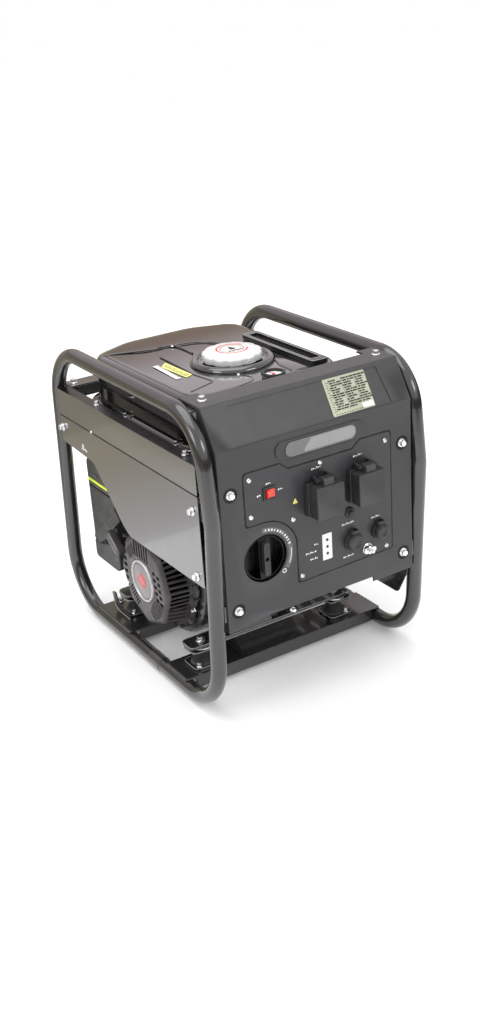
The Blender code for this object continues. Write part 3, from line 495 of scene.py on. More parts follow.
def build_frame():
    path = filleted(((22, 12), (0, 326), (16, 480), (478, 480), (514, 12)), (90, 60, 80, 90, 90), 4.0)
    for name, side in (("left", -1), ("right", 1)):
        centre_line = [(side * LOOP_X, y, z) for y, z in path]
        tube = swept(centre_line, TUBE_R, 32, Vector((1, 0, 0)), True)

        def tab(x0, x1, y0, y1, z0, z1):
            return block(*sorted((side * x0, side * x1)), y0, y1, z0, z1)

        tabs = [tab(140, 176, 3.5, 7, z - 13, z + 13) for z in (364, 183)]
        tabs += [tab(184, 188.5, 4, 50, z - 12, z + 12) for z in (341, 238)]
        tabs += [tab(138, 178, 45, 71, 479, 482), tab(184, 188.5, 454, 488, 335, 359)]
        piece(f"frame_tube_{name}", tube, "frame_black", replaces=f"frame_loop_{name}")
        piece(f"frame_tabs_{name}", tabs, "frame_black", soften=0.6, slot="frame_black")
        ring = [(TUBE_R - 1, 196), (TUBE_R + 0.7, 196.6), (TUBE_R + 0.7, 231.4), (TUBE_R - 1, 232)]
        piece(f"frame_sleeve_{name}", turned(ring, "y", (side * LOOP_X, 12.0), 32), "frame_black", slot="frame_black")


# Fasteners


def flange_bolt(name, place, axis, out, radius):
    """A hexagon bolt with a flange; out is the sign of its head's direction along axis."""
    u, v, base = {"x": (place[1], place[2], place[0]), "y": (place[0], place[2], place[1]), "z": place}[axis]
    flange = [(0, 0.0), (radius, 0.0), (radius, 0.9), (radius * 0.86, 1.9), (radius * 0.6, 2.2), (0, 2.2)]
    head = [(0, 1.8), (radius * 0.72, 1.8), (radius * 0.72, 6.0), (radius * 0.62, 6.9), (0, 7.1)]
    disc = turned([(r, base + out * h) for r, h in flange], axis, (u, v), 32)
    hexagon = turned([(r, base + out * h) for r, h in head], axis, (u, v), 6)
    piece(name, merged(disc, hexagon), "zinc", soften=0.35, segments=2)


def flange_bolts(name, places, axis, out, radius):
    for i, place in enumerate(places):
        flange_bolt(f"{name}_{i}", place, axis, out, radius)


def build_fasteners():
    for i, (x, z) in enumerate(((-150, 364), (150, 364), (-150, 183), (150, 183))):
        flange_bolt(f"cover_bolt_{i}", (x, 1.2, z), "y", -1, 7.2)
        ring = [(7.3, 1.1), (11.0, 1.1), (11.0, -0.5), (10.2, -1.0), (9.0, -1.0), (8.2, -0.4), (7.3, 0.2)]
        piece(f"cover_bolt_ring_{i}", turned(ring, "y", (x, z), 32), "seal_and_shade_black")
    for side in (-1, 1):
        spots = [(side * 191.8, y, z) for y, z in ((36.6, 341), (39, 238), (464, 347))]
        flange_bolts(f"panel_bolt_{side + 1}", spots, "x", side, 7.0)
        flange_bolt(f"top_bolt_{side + 1}", (side * 150, 58, 488.0), "z", 1, 7.0)
        flange_bolt(f"rear_bolt_{side + 1}", (side * 158, 478, 412.0), "z", 1, 7.0)
        flange_bolt(f"shelf_bolt_{side + 1}", (side * 179, 346, 413.0), "z", 1, 5.5)
        flange_bolt(f"shelf_bolt_front_{side + 1}", (side * 179, 66, 413.0), "z", 1, 5.5)
        spots = [(-154 if side < 0 else 134, y, 398.8) for y in (140, 300)]
        flange_bolts(f"tank_bolt_{side + 1}", spots, "z", 1, 4.2)


# Control panel


def panel_outline(grow=0.0):
    """The control panel's outline as (x, z): a corner is taken out round the engine knob."""
    reach = 57.0 - grow
    left, right, low, high = -128 - grow, 127.5 + grow, 196 - grow, 389 + grow
    inner = -44.0 - grow
    start = math.acos((inner - KNOB_X) / reach)
    arc = []
    for i in range(17):
        angle = start + (math.radians(92) - start) * i / 16
        arc.append((KNOB_X + reach * math.cos(angle), KNOB_Z + reach * math.sin(angle)))
    shelf_z = arc[-1][1]
    lower = filleted(((inner, arc[0][1] - 4), (inner, low), (right, low)), (0, 5, 0), 15, False)[:-1]
    corners = ((right, low), (right, high), (72, high), (58, high - 11), (-54, high - 11), (-67, high))
    corners += ((left, high), (left, shelf_z), (KNOB_X - 8, shelf_z))
    upper = filleted(corners, (5, 6, 4, 4, 4, 4, 7, 5, 0), 15)
    return lower + upper + arc[::-1][1:]


def sector(centre, inner, outer, start, end, step=4.0):
    """The outline of a ring's sector, between two angles in degrees."""
    count = max(2, round(abs(end - start) / step))
    angles = [math.radians(start + (end - start) * i / count) for i in range(count + 1)]
    out = [(centre[0] + outer * math.cos(a), centre[1] + outer * math.sin(a)) for a in angles]
    back = [(centre[0] + inner * math.cos(a), centre[1] + inner * math.sin(a)) for a in reversed(angles)]
    return out + back


def dashes(x, z, widths, rise=0.0):
    """A row of plain printed dashes from x rightwards, in place of a word."""
    row, height = [], 2.6
    for i, width in enumerate(widths):
        low = z + rise * i - height / 2 + 0.5 * (i % 2)
        outline = rounded_rectangle(x, x + width, low, low + height - 0.7 * (i % 3), 0.5, 45)
        row.append(prism(outline, "y", PANEL_FACE - 0.12, PANEL_FACE))
        x += width + 0.9
    return row


def pan_screw(name, x, z):
    """A round-headed screw in the panel, with a cross recess."""
    y, radius, half_width = PANEL_FACE, 3.6, 0.45
    profile = [(0, y + 0.5), (radius, y + 0.5), (radius, y - 0.6), (radius * 0.8, y - 1.7), (radius * 0.4, y - 2.2)]
    profile += [(0, y - 2.3)]
    screw = piece(name, turned(profile, "y", (x, z), 28), "zinc")
    arm = radius * 0.62
    for across, up in ((arm, half_width), (half_width, arm)):
        cut(screw, block(x - across, x + across, y - 3, y - 1.3, z - up, z + up))


def build_panel():
    plate = piece(
        "panel_plate", prism(panel_outline(), "y", PANEL_FACE, PANEL_FACE + 2.4), "panel_film", soften=0.6,
        replaces="control_panel",
    )
    holes = [rod("y", spot, 23.0, -5, 5) for spot in AC_CENTRES]
    holes += [rod("y", (x, z), radius - 0.5, -5, 5) for x, z, radius in DC_CENTRES]
    holes += [rod("y", BREAKER, 4.7, -5, 5), rod("y", EARTH, 3.4, -5, 5)]
    holes.append(block(ROCKER[0] - 9.4, ROCKER[0] + 9.4, -5, 5, ROCKER[1] - 8.4, ROCKER[1] + 8.4))
    cut(plate, merged(*holes))
    # Painted shade: a black ring round the panel stands in for the shade in the groove between panel and cover.
    gasket_and_groove_shade = piece("panel_groove_shade", prism(panel_outline(2.2), "y", -0.35, 0.6), "seal_and_shade_black", soften=0.25, segments=2)
    cut(gasket_and_groove_shade, prism(panel_outline(0.1), "y", -2, 2))

    for i, (x, z) in enumerate(PANEL_SCREWS):
        pan_screw(f"panel_screw_{i}", x, z)
    marks = dashes(-92, 365.5, (2.2, 1.6, 2.4), rise=0.4) + dashes(-108, 351.0, (2.4, 2.6), rise=0.3)
    marks += dashes(-72.5, 352.0, (2.2, 1.8, 2.0), rise=0.3)
    marks += dashes(-14.5, 366.5, (1.8, 2.2, 1.6, 2.0, 1.8, 2.2), rise=0.2)
    marks += dashes(59.5, 366.5, (2.0, 1.8, 2.2, 1.6, 2.0, 1.8), rise=0.2)
    marks += dashes(35, 263.5, (1.6, 2.2, 1.8, 2.0, 1.6, 2.2, 1.8, 2.0), rise=0.1)
    marks += dashes(89.5, 259.5, (1.8, 2.0, 1.6, 2.2, 1.8, 1.6), rise=0.1)
    marks += dashes(36, 210.0, (1.8, 2.0, 1.6, 2.2, 1.8, 1.6, 2.0), rise=0.1)
    marks += dashes(-15.5, 247.5, (1.8, 1.6, 2.0)) + dashes(-31, 236.5, (1.8, 2.0, 1.6, 2.2, 1.8, 1.6, 2.0))
    marks += dashes(-23.5, 225.5, (1.8, 2.0, 1.6, 2.2, 1.8))
    piece("panel_marks", marks, "mark_white")

    strip = slab("y", PANEL_FACE - 0.35, PANEL_FACE + 0.2, -1, 16, 217, 259, 1.2, 30)
    piece("lamp_strip", strip, "mark_white", soften=0.15, segments=2)
    lamps = []
    for z in (249.0, 238.0, 227.0):
        dome = [(0, PANEL_FACE + 0.2), (2.1, PANEL_FACE + 0.2), (2.1, PANEL_FACE - 0.9), (1.5, PANEL_FACE - 1.8)]
        lamps.append(turned(dome + [(0, PANEL_FACE - 2.2)], "y", (7.5, z), 20))
    piece("lamps", lamps, "ink")
    triangle = filleted(((-49.4, 322.4), (-40.2, 322.4), (-44.8, 331.2)), (0.8, 0.8, 0.8), 30)
    piece("caution_triangle", prism(triangle, "y", PANEL_FACE - 0.15, PANEL_FACE), "label_yellow")

    arc = prism(sector((KNOB_X, KNOB_Z), KNOB_R + 4.2, KNOB_R + 11.5, 94, -36, 3.0), "y", -0.14, 0.3)
    piece("knob_scale", arc, "scale_grey")
    scale = []
    for i in range(11):
        angle = 88 - 7.0 * i
        width = 3.4 if i % 3 else 2.2
        mark = sector((KNOB_X, KNOB_Z), KNOB_R + 6.0, KNOB_R + 9.4, angle, angle - width, 2.0)
        scale.append(prism(mark, "y", -0.3, 0.1))
    ring = [(2.4, -0.3), (3.6, -0.3), (3.6, 0.2), (2.4, 0.2)]
    scale.append(turned(ring, "y", around((KNOB_X, KNOB_Z), 42.5, -44), 24))
    scale.append(prism(sector((KNOB_X, KNOB_Z), KNOB_R + 8.2, KNOB_R + 9.2, 5, -26, 3.0), "y", -0.3, 0.1))
    piece("knob_scale_marks", scale, "mark_white")

    collar = [(4.7, -4.4), (6.4, -4.4), (7.6, -3.4), (8.4, -1.8), (8.4, -0.4), (4.7, -0.4)]
    piece("breaker_collar", turned(collar, "y", BREAKER), "dark_plastic")
    button = [(0, -7.8), (2.6, -7.7), (3.8, -7.0), (4.3, -5.6), (4.3, 6), (0, 6)]
    piece("breaker_cap", turned(button, "y", BREAKER), "dark_plastic", "breaker", replaces="breaker_button")


def build_switches():
    x, z = ROCKER
    bezel = piece(
        "rocker_bezel", slab("y", -2.8, PANEL_FACE, x - 11, x + 11, z - 10, z + 10, 1.6),
        "dark_plastic", soften=0.6, replaces="eco_switch_body",
    )
    case = piece("rocker_case", block(x - 9, x + 9, -1.5, 16, z - 8, z + 8), "dark_plastic", soften=0.5)
    for part in (bezel, case):
        cut(part, block(x - 7.6, x + 7.6, -6, 12, z - 6.6, z + 6.6))
    curve = [(-6.6, -6.2), (-5.4, -5.9), (-3.4, -4.9), (0, -4.3), (3.4, -4.9), (5.4, -5.9), (6.6, -6.2)]
    curve += [(6.2, 2), (3, 6.5), (-3, 6.5), (-6.2, 2)]
    paddle = prism(curve, "z", -6.2, 6.2)
    lamp = prism([(-4.6, -5.9), (-1.2, -4.9), (-1.2, -4.2), (-4.6, -5.2)], "z", -3.6, 3.6)
    for mesh in (paddle, lamp):
        mesh.transform(Matrix.Rotation(math.radians(8), 4, "Z"))
        mesh.transform(Matrix.Translation((x, 1.5, z)))
    piece("rocker_paddle", paddle, "rocker_red", "rocker", soften=0.5, replaces="eco_rocker")
    piece("rocker_lens", lamp, "rocker_lens", "rocker", soften=0.3)

    centre = (KNOB_X, KNOB_Z)
    body = [(0, 2.5), (KNOB_R - 2.4, 2.5), (KNOB_R - 0.7, 3.2), (KNOB_R, 5), (KNOB_R, 25), (5, 25), (5, 34), (0, 34)]
    knob = piece(
        "knob_body", turned(body, "y", centre, 72), "knob_black_and_recess_shade", "knob", soften=0.7, replaces="engine_knob",
    )
    scoops = []
    for flip in (1, -1):
        arc = []
        for i in range(25):
            angle = math.radians(-74 + 148 * i / 24)
            arc.append((KNOB_X + flip * 32 * math.cos(angle), KNOB_Z + 32 * math.sin(angle)))
        scoops.append(prism(arc, "y", -2, 19))
    cut(knob, merged(*scoops))
    bar_outline = rounded_rectangle(KNOB_X - 5, KNOB_X + 5, KNOB_Z - 26, KNOB_Z + 26, 4.5)
    bar = piece("knob_bar", prism(bar_outline, "y", -5, 4), "lid_plastic", "knob", soften=1.4, segments=4)
    cut(bar, rod("y", centre, 3.2, -8, 2))
    groove = rounded_rectangle(KNOB_X - 1.6, KNOB_X + 1.6, KNOB_Z + 7, KNOB_Z + 23, 1.4)
    cut(bar, prism(groove, "y", -6, -4.2))
    rim = [(KNOB_R + 0.8, 0.8), (KNOB_R + 1.7, -0.5), (KNOB_R + 3.4, -0.5), (KNOB_R + 4.0, 0.4), (KNOB_R + 0.8, 2.0)]
    piece("knob_rim", turned(rim, "y", centre, 72), "cover_plastic")
    screw = [(0, -0.4), (2.6, -0.4), (2.6, 1.9), (0, 1.9)]
    piece("knob_screw", turned(screw, "y", centre, 24), "seal_and_shade_black", "knob")


def build_sockets():
    for number, (x, z), body in ((1, AC_CENTRES[0], "ac_lid_left"), (2, AC_CENTRES[1], "ac_lid_right")):
        shell = slab("y", -31, -10.8, x - 24, x + 24, z - 26.5, z + 23.8, 3.2)
        lid = piece(
            f"socket_lid_{number}", shell, "lid_plastic", body, soften=2.0, replaces=f"ac_lid_{number}", segments=4,
        )
        cut(lid, slab("y", -28.5, -8, x - 21.5, x + 21.5, z - 24, z + 21.3, 2.4))
        tab = [(-28.2, 18), (-11.2, 18), (-11.2, 29.5), (-13.2, 34.3), (-26.3, 34.3), (-28.2, 31.8)]
        piece(
            f"lid_knuckle_{number}", prism([(y, z + up) for y, up in tab], "x", x - 9, x + 9), "lid_plastic", body,
            soften=1.3,
        )
        lip = slab("y", -30.2, -27.0, x - 9, x + 9, z - 27.4, z - 25.4, 0.9)
        piece(f"lid_lip_{number}", lip, "lid_plastic", body, soften=0.4)
        pin = rod("x", (-16.0, z + 29.0), 1.5, x - 13.8, x + 13.8, 20)
        piece(f"lid_pin_{number}", pin, "zinc", body)
        face = [(0, 8.2), (13.5, 8.2), (13.5, 9.0), (19.3, 9.0), (19.3, 9.8), (0, 9.8)]
        insert = piece(f"socket_insert_{number}", turned(face, "y", (x, z), 48), "lid_plastic")
        cut(insert, rod("y", (x - 9.5, z), 2.4, 5, 9.4, 20), rod("y", (x + 9.5, z), 2.4, 5, 9.4, 20))
        clips = [block(x - 2.2, x + 2.2, 1.0, 8.4, z + s * 17.2 - 0.5, z + s * 17.2 + 0.5) for s in (-1, 1)]
        piece(f"socket_earth_clips_{number}", clips, "zinc", soften=0.3)
        ledge = slab("y", -2.2, PANEL_FACE, x - 26.2, x + 26.2, z - 27.2, z + 26.6, 3)
        flange = piece(f"socket_flange_{number}", ledge, "seal_and_shade_black", soften=0.7)
        cut(flange, rod("y", (x, z), 22.8, -5, 5))
    for number, (x, z, radius), body in ((1, DC_CENTRES[0], "dc_cap_left"), (2, DC_CENTRES[1], "dc_cap_right")):
        edge = radius - 0.4
        profile = [(0, -13.2), (radius - 7, -13.4), (radius - 6, -14.0), (radius - 3.4, -14.0), (radius - 1.4, -13.2)]
        profile += [(edge, -11.6), (edge, -5.4), (0, -5.4)]
        piece(
            f"charge_cap_{number}", turned(profile, "y", (x, z), 56), "lid_plastic", body,
            replaces=f"dc_cap_{number}",
        )
        strap = [(y, z + radius + up) for y, up in ((-10, -5), (-5.6, -5), (-5.6, 5), (-10, 5))]
        piece(
            f"charge_cap_strap_{number}", prism(strap, "x", x - 3.7, x + 3.7), "lid_plastic", body, soften=0.9,
        )
        bore, rim = radius - 3.8, radius + 1.6
        ring = [(bore, -5), (rim - 0.6, -5), (rim, -4.2), (rim, -0.9), (radius - 0.8, -0.9), (radius - 0.8, 28)]
        ring += [(0, 28), (0, 24), (bore, 24)]
        piece(
            f"charge_socket_{number}", turned(ring, "y", (x, z), 56), "dark_plastic", replaces=f"dc_socket_{number}",
        )
        lugs = [block(x + s - 1, x + s + 1, -9.5, -1.2, z + radius, z + radius + 5.5) for s in (-5, 5)]
        piece(f"charge_socket_lugs_{number}", lugs, "dark_plastic", soften=0.4)


def build_earth():
    x, z = EARTH
    stud = [(0, -17), (2.2, -17), (3, -16.0)]
    thread = -15.5
    while thread < -11:
        stud += [(3.0, thread), (2.6, thread + 0.4), (3.0, thread + 0.8)]
        thread += 0.9
    stud += [(3, -4.4), (7.5, -4.4), (7.5, -0.9), (3, -0.9), (3, 14), (0, 14)]
    piece("earth_post", turned(stud, "y", EARTH, 32), "chrome", replaces="earth_stud")
    nut = [(3.4, -10), (5.2, -10), (6.4, -9.2), (6.6, -8), (6.6, -5.2), (3.4, -5.2)]
    piece("earth_wing_nut", turned(nut, "y", EARTH, 32), "chrome", "earth", replaces="earth_nut")
    wing = filleted(((-11, -3.4), (-4.8, -5), (-4.8, 5), (-11, 3.4)), (3, 0, 0, 3), 15)
    ears = [prism([(x + flip * u, z + v) for u, v in wing], "y", -9, -6.5) for flip in (1, -1)]
    piece("earth_nut_wings", ears, "chrome", "earth", soften=0.7)
    washer = [(3.2, -0.9), (9.0, -0.9), (9.0, -1.7), (3.2, -1.7)]
    piece("earth_washer", turned(washer, "y", EARTH, 40), "zinc")


# Badge and rating plate


def on_slope(mesh):
    """Turns a mesh drawn against the vertical plane y = 0 onto the sloping face."""
    mesh.transform(Matrix.Rotation(-math.atan2(CREASE_Y, COVER_TOP - COVER_BEND), 4, "X"))
    mesh.transform(Matrix.Translation((0, 0, COVER_BEND)))
    return mesh


def build_labels():
    outline = rounded_rectangle(-58, 64, 396, 418, 10.5)
    piece("badge_plate", prism(outline, "y", -3.8, -2.9), "badge_grey", soften=0.35, replaces="badge")
    light = filleted(((-30, 398.2), (62.4, 398.2), (62.4, 416.6), (-14, 416.6)), (3, 8.5, 8.5, 6), 12)
    piece("badge_inlay", prism(light, "y", -3.98, -3.7), "badge_light", soften=0.1, segments=2)

    plate = on_slope(slab("y", 0.3, 0.9, 31, 105, 4, 60, 1.2, 30))
    piece("data_plate", plate, "label_light", soften=0.12, replaces="rating_plate", segments=2)
    printed = []
    for row in range(13):
        up = 56.6 - 3.55 * row
        for column, (start, widths) in enumerate(((40, (7, 4, 8)), (63, (8, 4, 7)), (85, (5, 8, 5)))):
            x = start + (row * 7 + column * 3) % 3
            for k, width in enumerate(widths):
                if (row + column + k) % 5 == 0:
                    continue
                printed.append(block(x, x + width - 0.6 * (row % 2), 0.14, 0.4, up - 2.15, up))
                x += width + 0.7
                if x > (61, 83, 101)[column]:
                    break
    printed += [block(x, x + 0.4, 0.16, 0.4, 9, 57.5) for x in (62.2, 84.2)]
    piece("data_plate_print", on_slope(merged(*printed)), "ink")
    hatch = []
    for i in range(13):
        hatch.append(block(34 + (i % 2), 40 - (i % 3), 0.16, 0.4, 10 + 3.6 * i, 11.0 + 3.6 * i))
    for i in range(11):
        hatch.append(block(36 + 4.6 * i, 38.4 + 4.6 * i, 0.16, 0.4, 5.4, 7.0))
    piece("data_plate_hatch", on_slope(merged(*hatch)), "hatch_green")
    piece("data_plate_box", on_slope(block(84, 103.6, 0.1, 0.4, 6.0, 13.5)), "mark_white")


# Fuel tank and what is on it


def tank_ring(grow, z):
    """The tank's outline seen from above, moved outwards by grow; its rear falls away a little."""
    outline = filleted(grown(TANK_CORNERS, grow), [radius + grow for radius in TANK_ROUNDING], 6.0)
    return [(x, y, z - max(0.0, (z - 440) / 34 * (y - 372) * 0.045) if y > 372 else z) for x, y in outline]


def build_tank():
    seam, top = 396.0, TANK_TOP
    flange = ((12, 0), (12.4, 1.2), (11.6, 2.4), (2.2, 2.8), (0.3, 4.6), (0, 8))
    rings = [tank_ring(grow, seam + up) for grow, up in flange] + [tank_ring(0, top - 22)]
    for degrees in (18, 36, 54, 72, 84):
        angle = math.radians(degrees)
        rings.append(tank_ring(-9 * (1 - math.cos(angle)), top - 22 + 20 * math.sin(angle)))
    crease = ((-11, 1.9), (-12.4, 1.5), (-13.4, 0.2), (-15, 0), (-20, 0))
    rings += [tank_ring(grow, top - down) for grow, down in crease]
    tank = piece("tank_shell", skinned(rings), "tank_gloss", replaces="fuel_tank_upper", smooth=60)
    inner = [tank_ring(-2.5, seam - 5)]
    inner += [tank_ring(grow, top - down) for grow, down in ((-2.5, 24), (-8, 12), (-14, 7), (-24, 3))]
    cut(tank, skinned(inner), rod("z", (CAP_X, CAP_Y), 24, top - 20, top + 9, 48))

    low = seam - 0.3
    rings = [tank_ring(*step) for step in ((-24, 352), (-15, 353.5), (-8, 358), (-2, 366), (0, 376))]
    flange = ((0, 6), (0.6, 3.6), (11.6, 2.4), (12.4, 1.2), (12, 0))
    rings += [tank_ring(grow, low - down) for grow, down in flange]
    tray = piece("tank_tray", skinned(rings), "tank_gloss", replaces="fuel_tank_lower", smooth=60)
    hollow = [tank_ring(-27, 355), tank_ring(-13, 361), tank_ring(-2.5, 374), tank_ring(-2.5, low + 5)]
    cut(tray, skinned(hollow))

    deck = top - 0.15
    low_deck = deck - 0.6
    ridge = ((-134, 390, low_deck), (-118, 387, low_deck), (-68, 367, deck), (-36, 366, deck))
    ridge += ((-25, 352, deck), (-26, 300, deck))
    lines = [bead(smooth_route(ridge, 36), 1.5)]
    pocket = filleted(((-73, 321), (-79, 201), (-74, 155), (-123, 137)), (0, 20, 6, 0), 10, False)
    lines.append(bead([(x, y, deck) for x, y in pocket], 1.2))
    second = filleted(((-29, 158), (-20, 128), (-34, 116), (-103, 101)), (0, 14, 5, 0), 10, False)
    lines.append(bead([(x, y, deck) for x, y in second], 1.2))
    fall = smooth_route(((-30, 362, deck - 0.1), (10, 350, deck), (34, 318, deck), (44, 292, deck)), 24)
    lines.append(bead(fall, 1.1))
    piece("tank_creases", lines, "tank_gloss", smooth=80)
    boss = [(0, deck), (2.4, deck), (2.2, deck + 1.0), (1.4, deck + 1.7), (0, deck + 2)]
    bosses = [turned(boss, "z", spot, 24) for spot in ((-31, 357), (-30, 157))]
    piece("tank_bosses", bosses, "chrome", smooth=60)

    pad_rings = []
    pad = ((36, 110), (66, 110), (66, 178), (50, 186), (38, 150))
    for grow, z in ((0, top - 0.3), (-0.6, top + 1.0), (-1.8, top + 1.9), (-3.2, top + 2.2)):
        pad_rings.append([(x, y, z) for x, y in filleted(grown(pad, grow), (6, 5, 5, 5, 12), 15)])
    piece("tank_pad", skinned(pad_rings), "tank_gloss", smooth=60)

    label = filleted(((-98.5, 271), (-83, 287), (-80.6, 206), (-95, 199)), (1, 1, 1, 1), 30)
    piece("caution_strip", prism(label, "z", top, top + 0.25), "label_yellow", soften=0.1, segments=2)
    white = filleted(((-106.5, 284), (-97.5, 282), (-101.5, 203), (-110.5, 202)), (1, 1, 1, 1), 30)
    piece("caution_strip_white", prism(white, "z", top, top + 0.22), "mark_white", soften=0.1, segments=2)
    ticks = []
    for i in range(12):
        y = 208 + 5.9 * i
        ticks.append(block(-103.4 + 0.3 * i, -100.4 + 0.3 * i - (i % 3) * 0.6, y, y + 3.6, top + 0.15, top + 0.3))
        ticks.append(block(-92.5, -90.0 + (i % 2) * 0.8, y - 3, y + 0.8, top + 0.2, top + 0.33))
        ticks.append(block(-87.6, -86.0, y, y + 4.2 - (i % 3), top + 0.2, top + 0.33))
    piece("caution_strip_print", ticks, "hatch_green")


def build_filler():
    top = TANK_TOP + 0.3
    centre = (CAP_X, CAP_Y)
    neck = [(20, TANK_TOP - 16), (23.5, TANK_TOP - 16), (23.5, top - 0.3), (66, top - 0.3), (65.6, top + 2.0)]
    neck += [(64.2, top + 4.4), (62.0, top + 6.2), (59.4, top + 7.2), (56.8, top + 7.0), (54.6, top + 5.6)]
    neck += [(53.4, top + 3.2), (51.5, top + 1.4), (48.5, top + 0.8), (27, top + 0.8), (26.4, top + 1.6)]
    neck += [(26, top + 10), (20, top + 10)]
    piece("filler_collar", turned(neck, "z", centre, 96), "tank_gloss", replaces="filler_neck", smooth=40)
    rim = [(51.2, top + 1.4), (52.2, top + 2.3), (51.2, top + 3.0), (50.0, top + 2.2)]
    piece("filler_ring", turned(rim, "z", centre, 96), "edge_grey", smooth=60)

    low = top + 10.5
    roof = low + 3.8

    def lobed(angle, radius):
        """Eleven shallow finger grips in the cap's side."""
        if radius < 36:
            return 1.0
        return 1.0 - 0.045 * (0.5 + 0.5 * math.cos(angle * 11)) ** 3

    edge = 47.0
    cap = [(0, roof + 4.5), (33, roof + 4.5), (36, roof + 4.1), (37.5, roof + 3.2), (40, roof + 3.0)]
    cap += [(43.5, roof + 2.4), (46, roof + 0.8), (edge, roof - 1.6), (edge, roof - 8.4), (46.3, roof - 9.8)]
    cap.append((44.6, roof - 10))
    cap += [(43.4, roof - 2), (41, roof), (5, roof), (5, low - 8), (0, low - 8)]
    piece("cap_shell", turned(cap[::-1], "z", centre, 176, lobed), "cap_metal", "cap", replaces="fuel_cap", smooth=50)
    disc = [(0, roof + 4.3), (27, roof + 4.3), (27, roof + 4.7), (26.6, roof + 4.85), (0, roof + 4.85)]
    piece("cap_label", turned(disc, "z", centre, 72), "cap_paper", "cap")
    face = roof + 4.8
    ring = prism(sector(centre, 22.4, 25.2, 20, 335, 4.0), "z", face, face + 0.16)
    piece("cap_label_ring", ring, "label_red", "cap")
    drop = [(CAP_X + u, CAP_Y + v) for u, v in filleted(((-7, -6), (7, -6), (0, 12)), (5, 5, 1.2), 12)]
    glyph = [prism(drop, "z", face, face + 0.14)]
    wave = [(CAP_X - 12 + 2 * i, CAP_Y - 12 + 1.4 * math.sin(i * 1.3), face + 0.05) for i in range(13)]
    glyph.append(bead(wave, 0.9, 8))
    circle = [(18.2, face), (19.2, face), (19.2, face + 0.12), (18.2, face + 0.12)]
    glyph.append(turned(circle, "z", centre, 72))
    piece("cap_label_glyph", glyph, "ink", "cap")

    seal = [(5.6, low), (25, low), (26, low + 0.8), (26, low + 2.8), (25, low + 3.5), (5.6, low + 3.5)]
    piece("cap_gasket", turned(seal, "z", centre, 64), "rubber", "cap_core", replaces="cap_seal", slot="dark_plastic")
    skirt = [(5.6, low + 1), (5.6, low - 12), (17, low - 12), (17, low + 1)]
    piece("cap_core_skirt", turned(skirt, "z", centre, 48), "dark_plastic", "cap_core", soften=0.5)

    spot = (GAUGE_X, GAUGE_Y)
    ring = [(0, top), (17.5, top), (17.5, top + 4.6), (16.9, top + 6), (15.6, top + 6.5), (14.2, top + 6.2)]
    ring += [(14, top + 1.8), (0, top + 1.8)]
    piece("gauge_bezel", turned(ring, "z", spot, 56), "dark_plastic", replaces="fuel_gauge")
    dial = [(0, top + 1.9), (13.9, top + 1.9), (13.9, top + 2.1), (0, top + 2.1)]
    piece("gauge_dial", turned(dial, "z", spot, 48), "mark_white")
    lugs = []
    lug = [(0, top), (4.2, top), (4.2, top + 2.6), (3.4, top + 3.2), (0, top + 3.2)]
    for degrees in (15, 105, 195, 285):
        lugs.append(turned(lug, "z", around(spot, 20, degrees), 20))
    piece("gauge_lugs", lugs, "dark_plastic")
    scale = []
    for i in range(7):
        start = 20 + 22 * i
        mark = sector(spot, 9.5, 12.4, start, start + (9 if i % 3 == 0 else 3), 2)
        scale.append(prism(mark, "z", top + 2.05, top + 2.18))
    piece("gauge_scale", scale, "ink")
    hand = rod("z", spot, 2.2, top + 2.3, top + 3.6, 24)
    pointer = [(GAUGE_X + u, GAUGE_Y + v) for u, v in ((-0.8, -3), (0.8, -3), (0.3, 11), (-0.3, 11))]
    bar = prism(pointer, "z", top + 2.6, top + 3.2)
    piece("gauge_hand", merged(hand, bar), "label_red", "needle", replaces="gauge_needle")

    tray = piece(
        "tray_frame", slab("z", top, top + 7, 73, 104, 112, 312, 5), "tray_black", soften=0.8,
        replaces="grille_tray",
    )
    cut(tray, slab("z", top + 1.8, top + 12, 78, 99, 124, 304, 3))
    # Painted highlights: pale grey beads along the tray's top edges stand in for the light caught on them.
    outer = [(x, y, top + 7.0) for x, y in rounded_rectangle(74.6, 102.4, 113.6, 310.4, 4.4)]
    inner = [(x, y, top + 7.0) for x, y in rounded_rectangle(78.6, 98.4, 124.6, 303.4, 3)]
    piece("tray_edge_highlights", merged(bead(outer, 0.75, 8, True), bead(inner, 0.7, 8, True)), "edge_grey", smooth=80)
    ribs = [block(80.4, 96.6, y, y + 1.6, top + 1.8, top + 3.6) for y in range(132, 300, 8)]
    piece("tray_ribs", ribs, "tray_black", soften=0.3, segments=1)


# Side panels


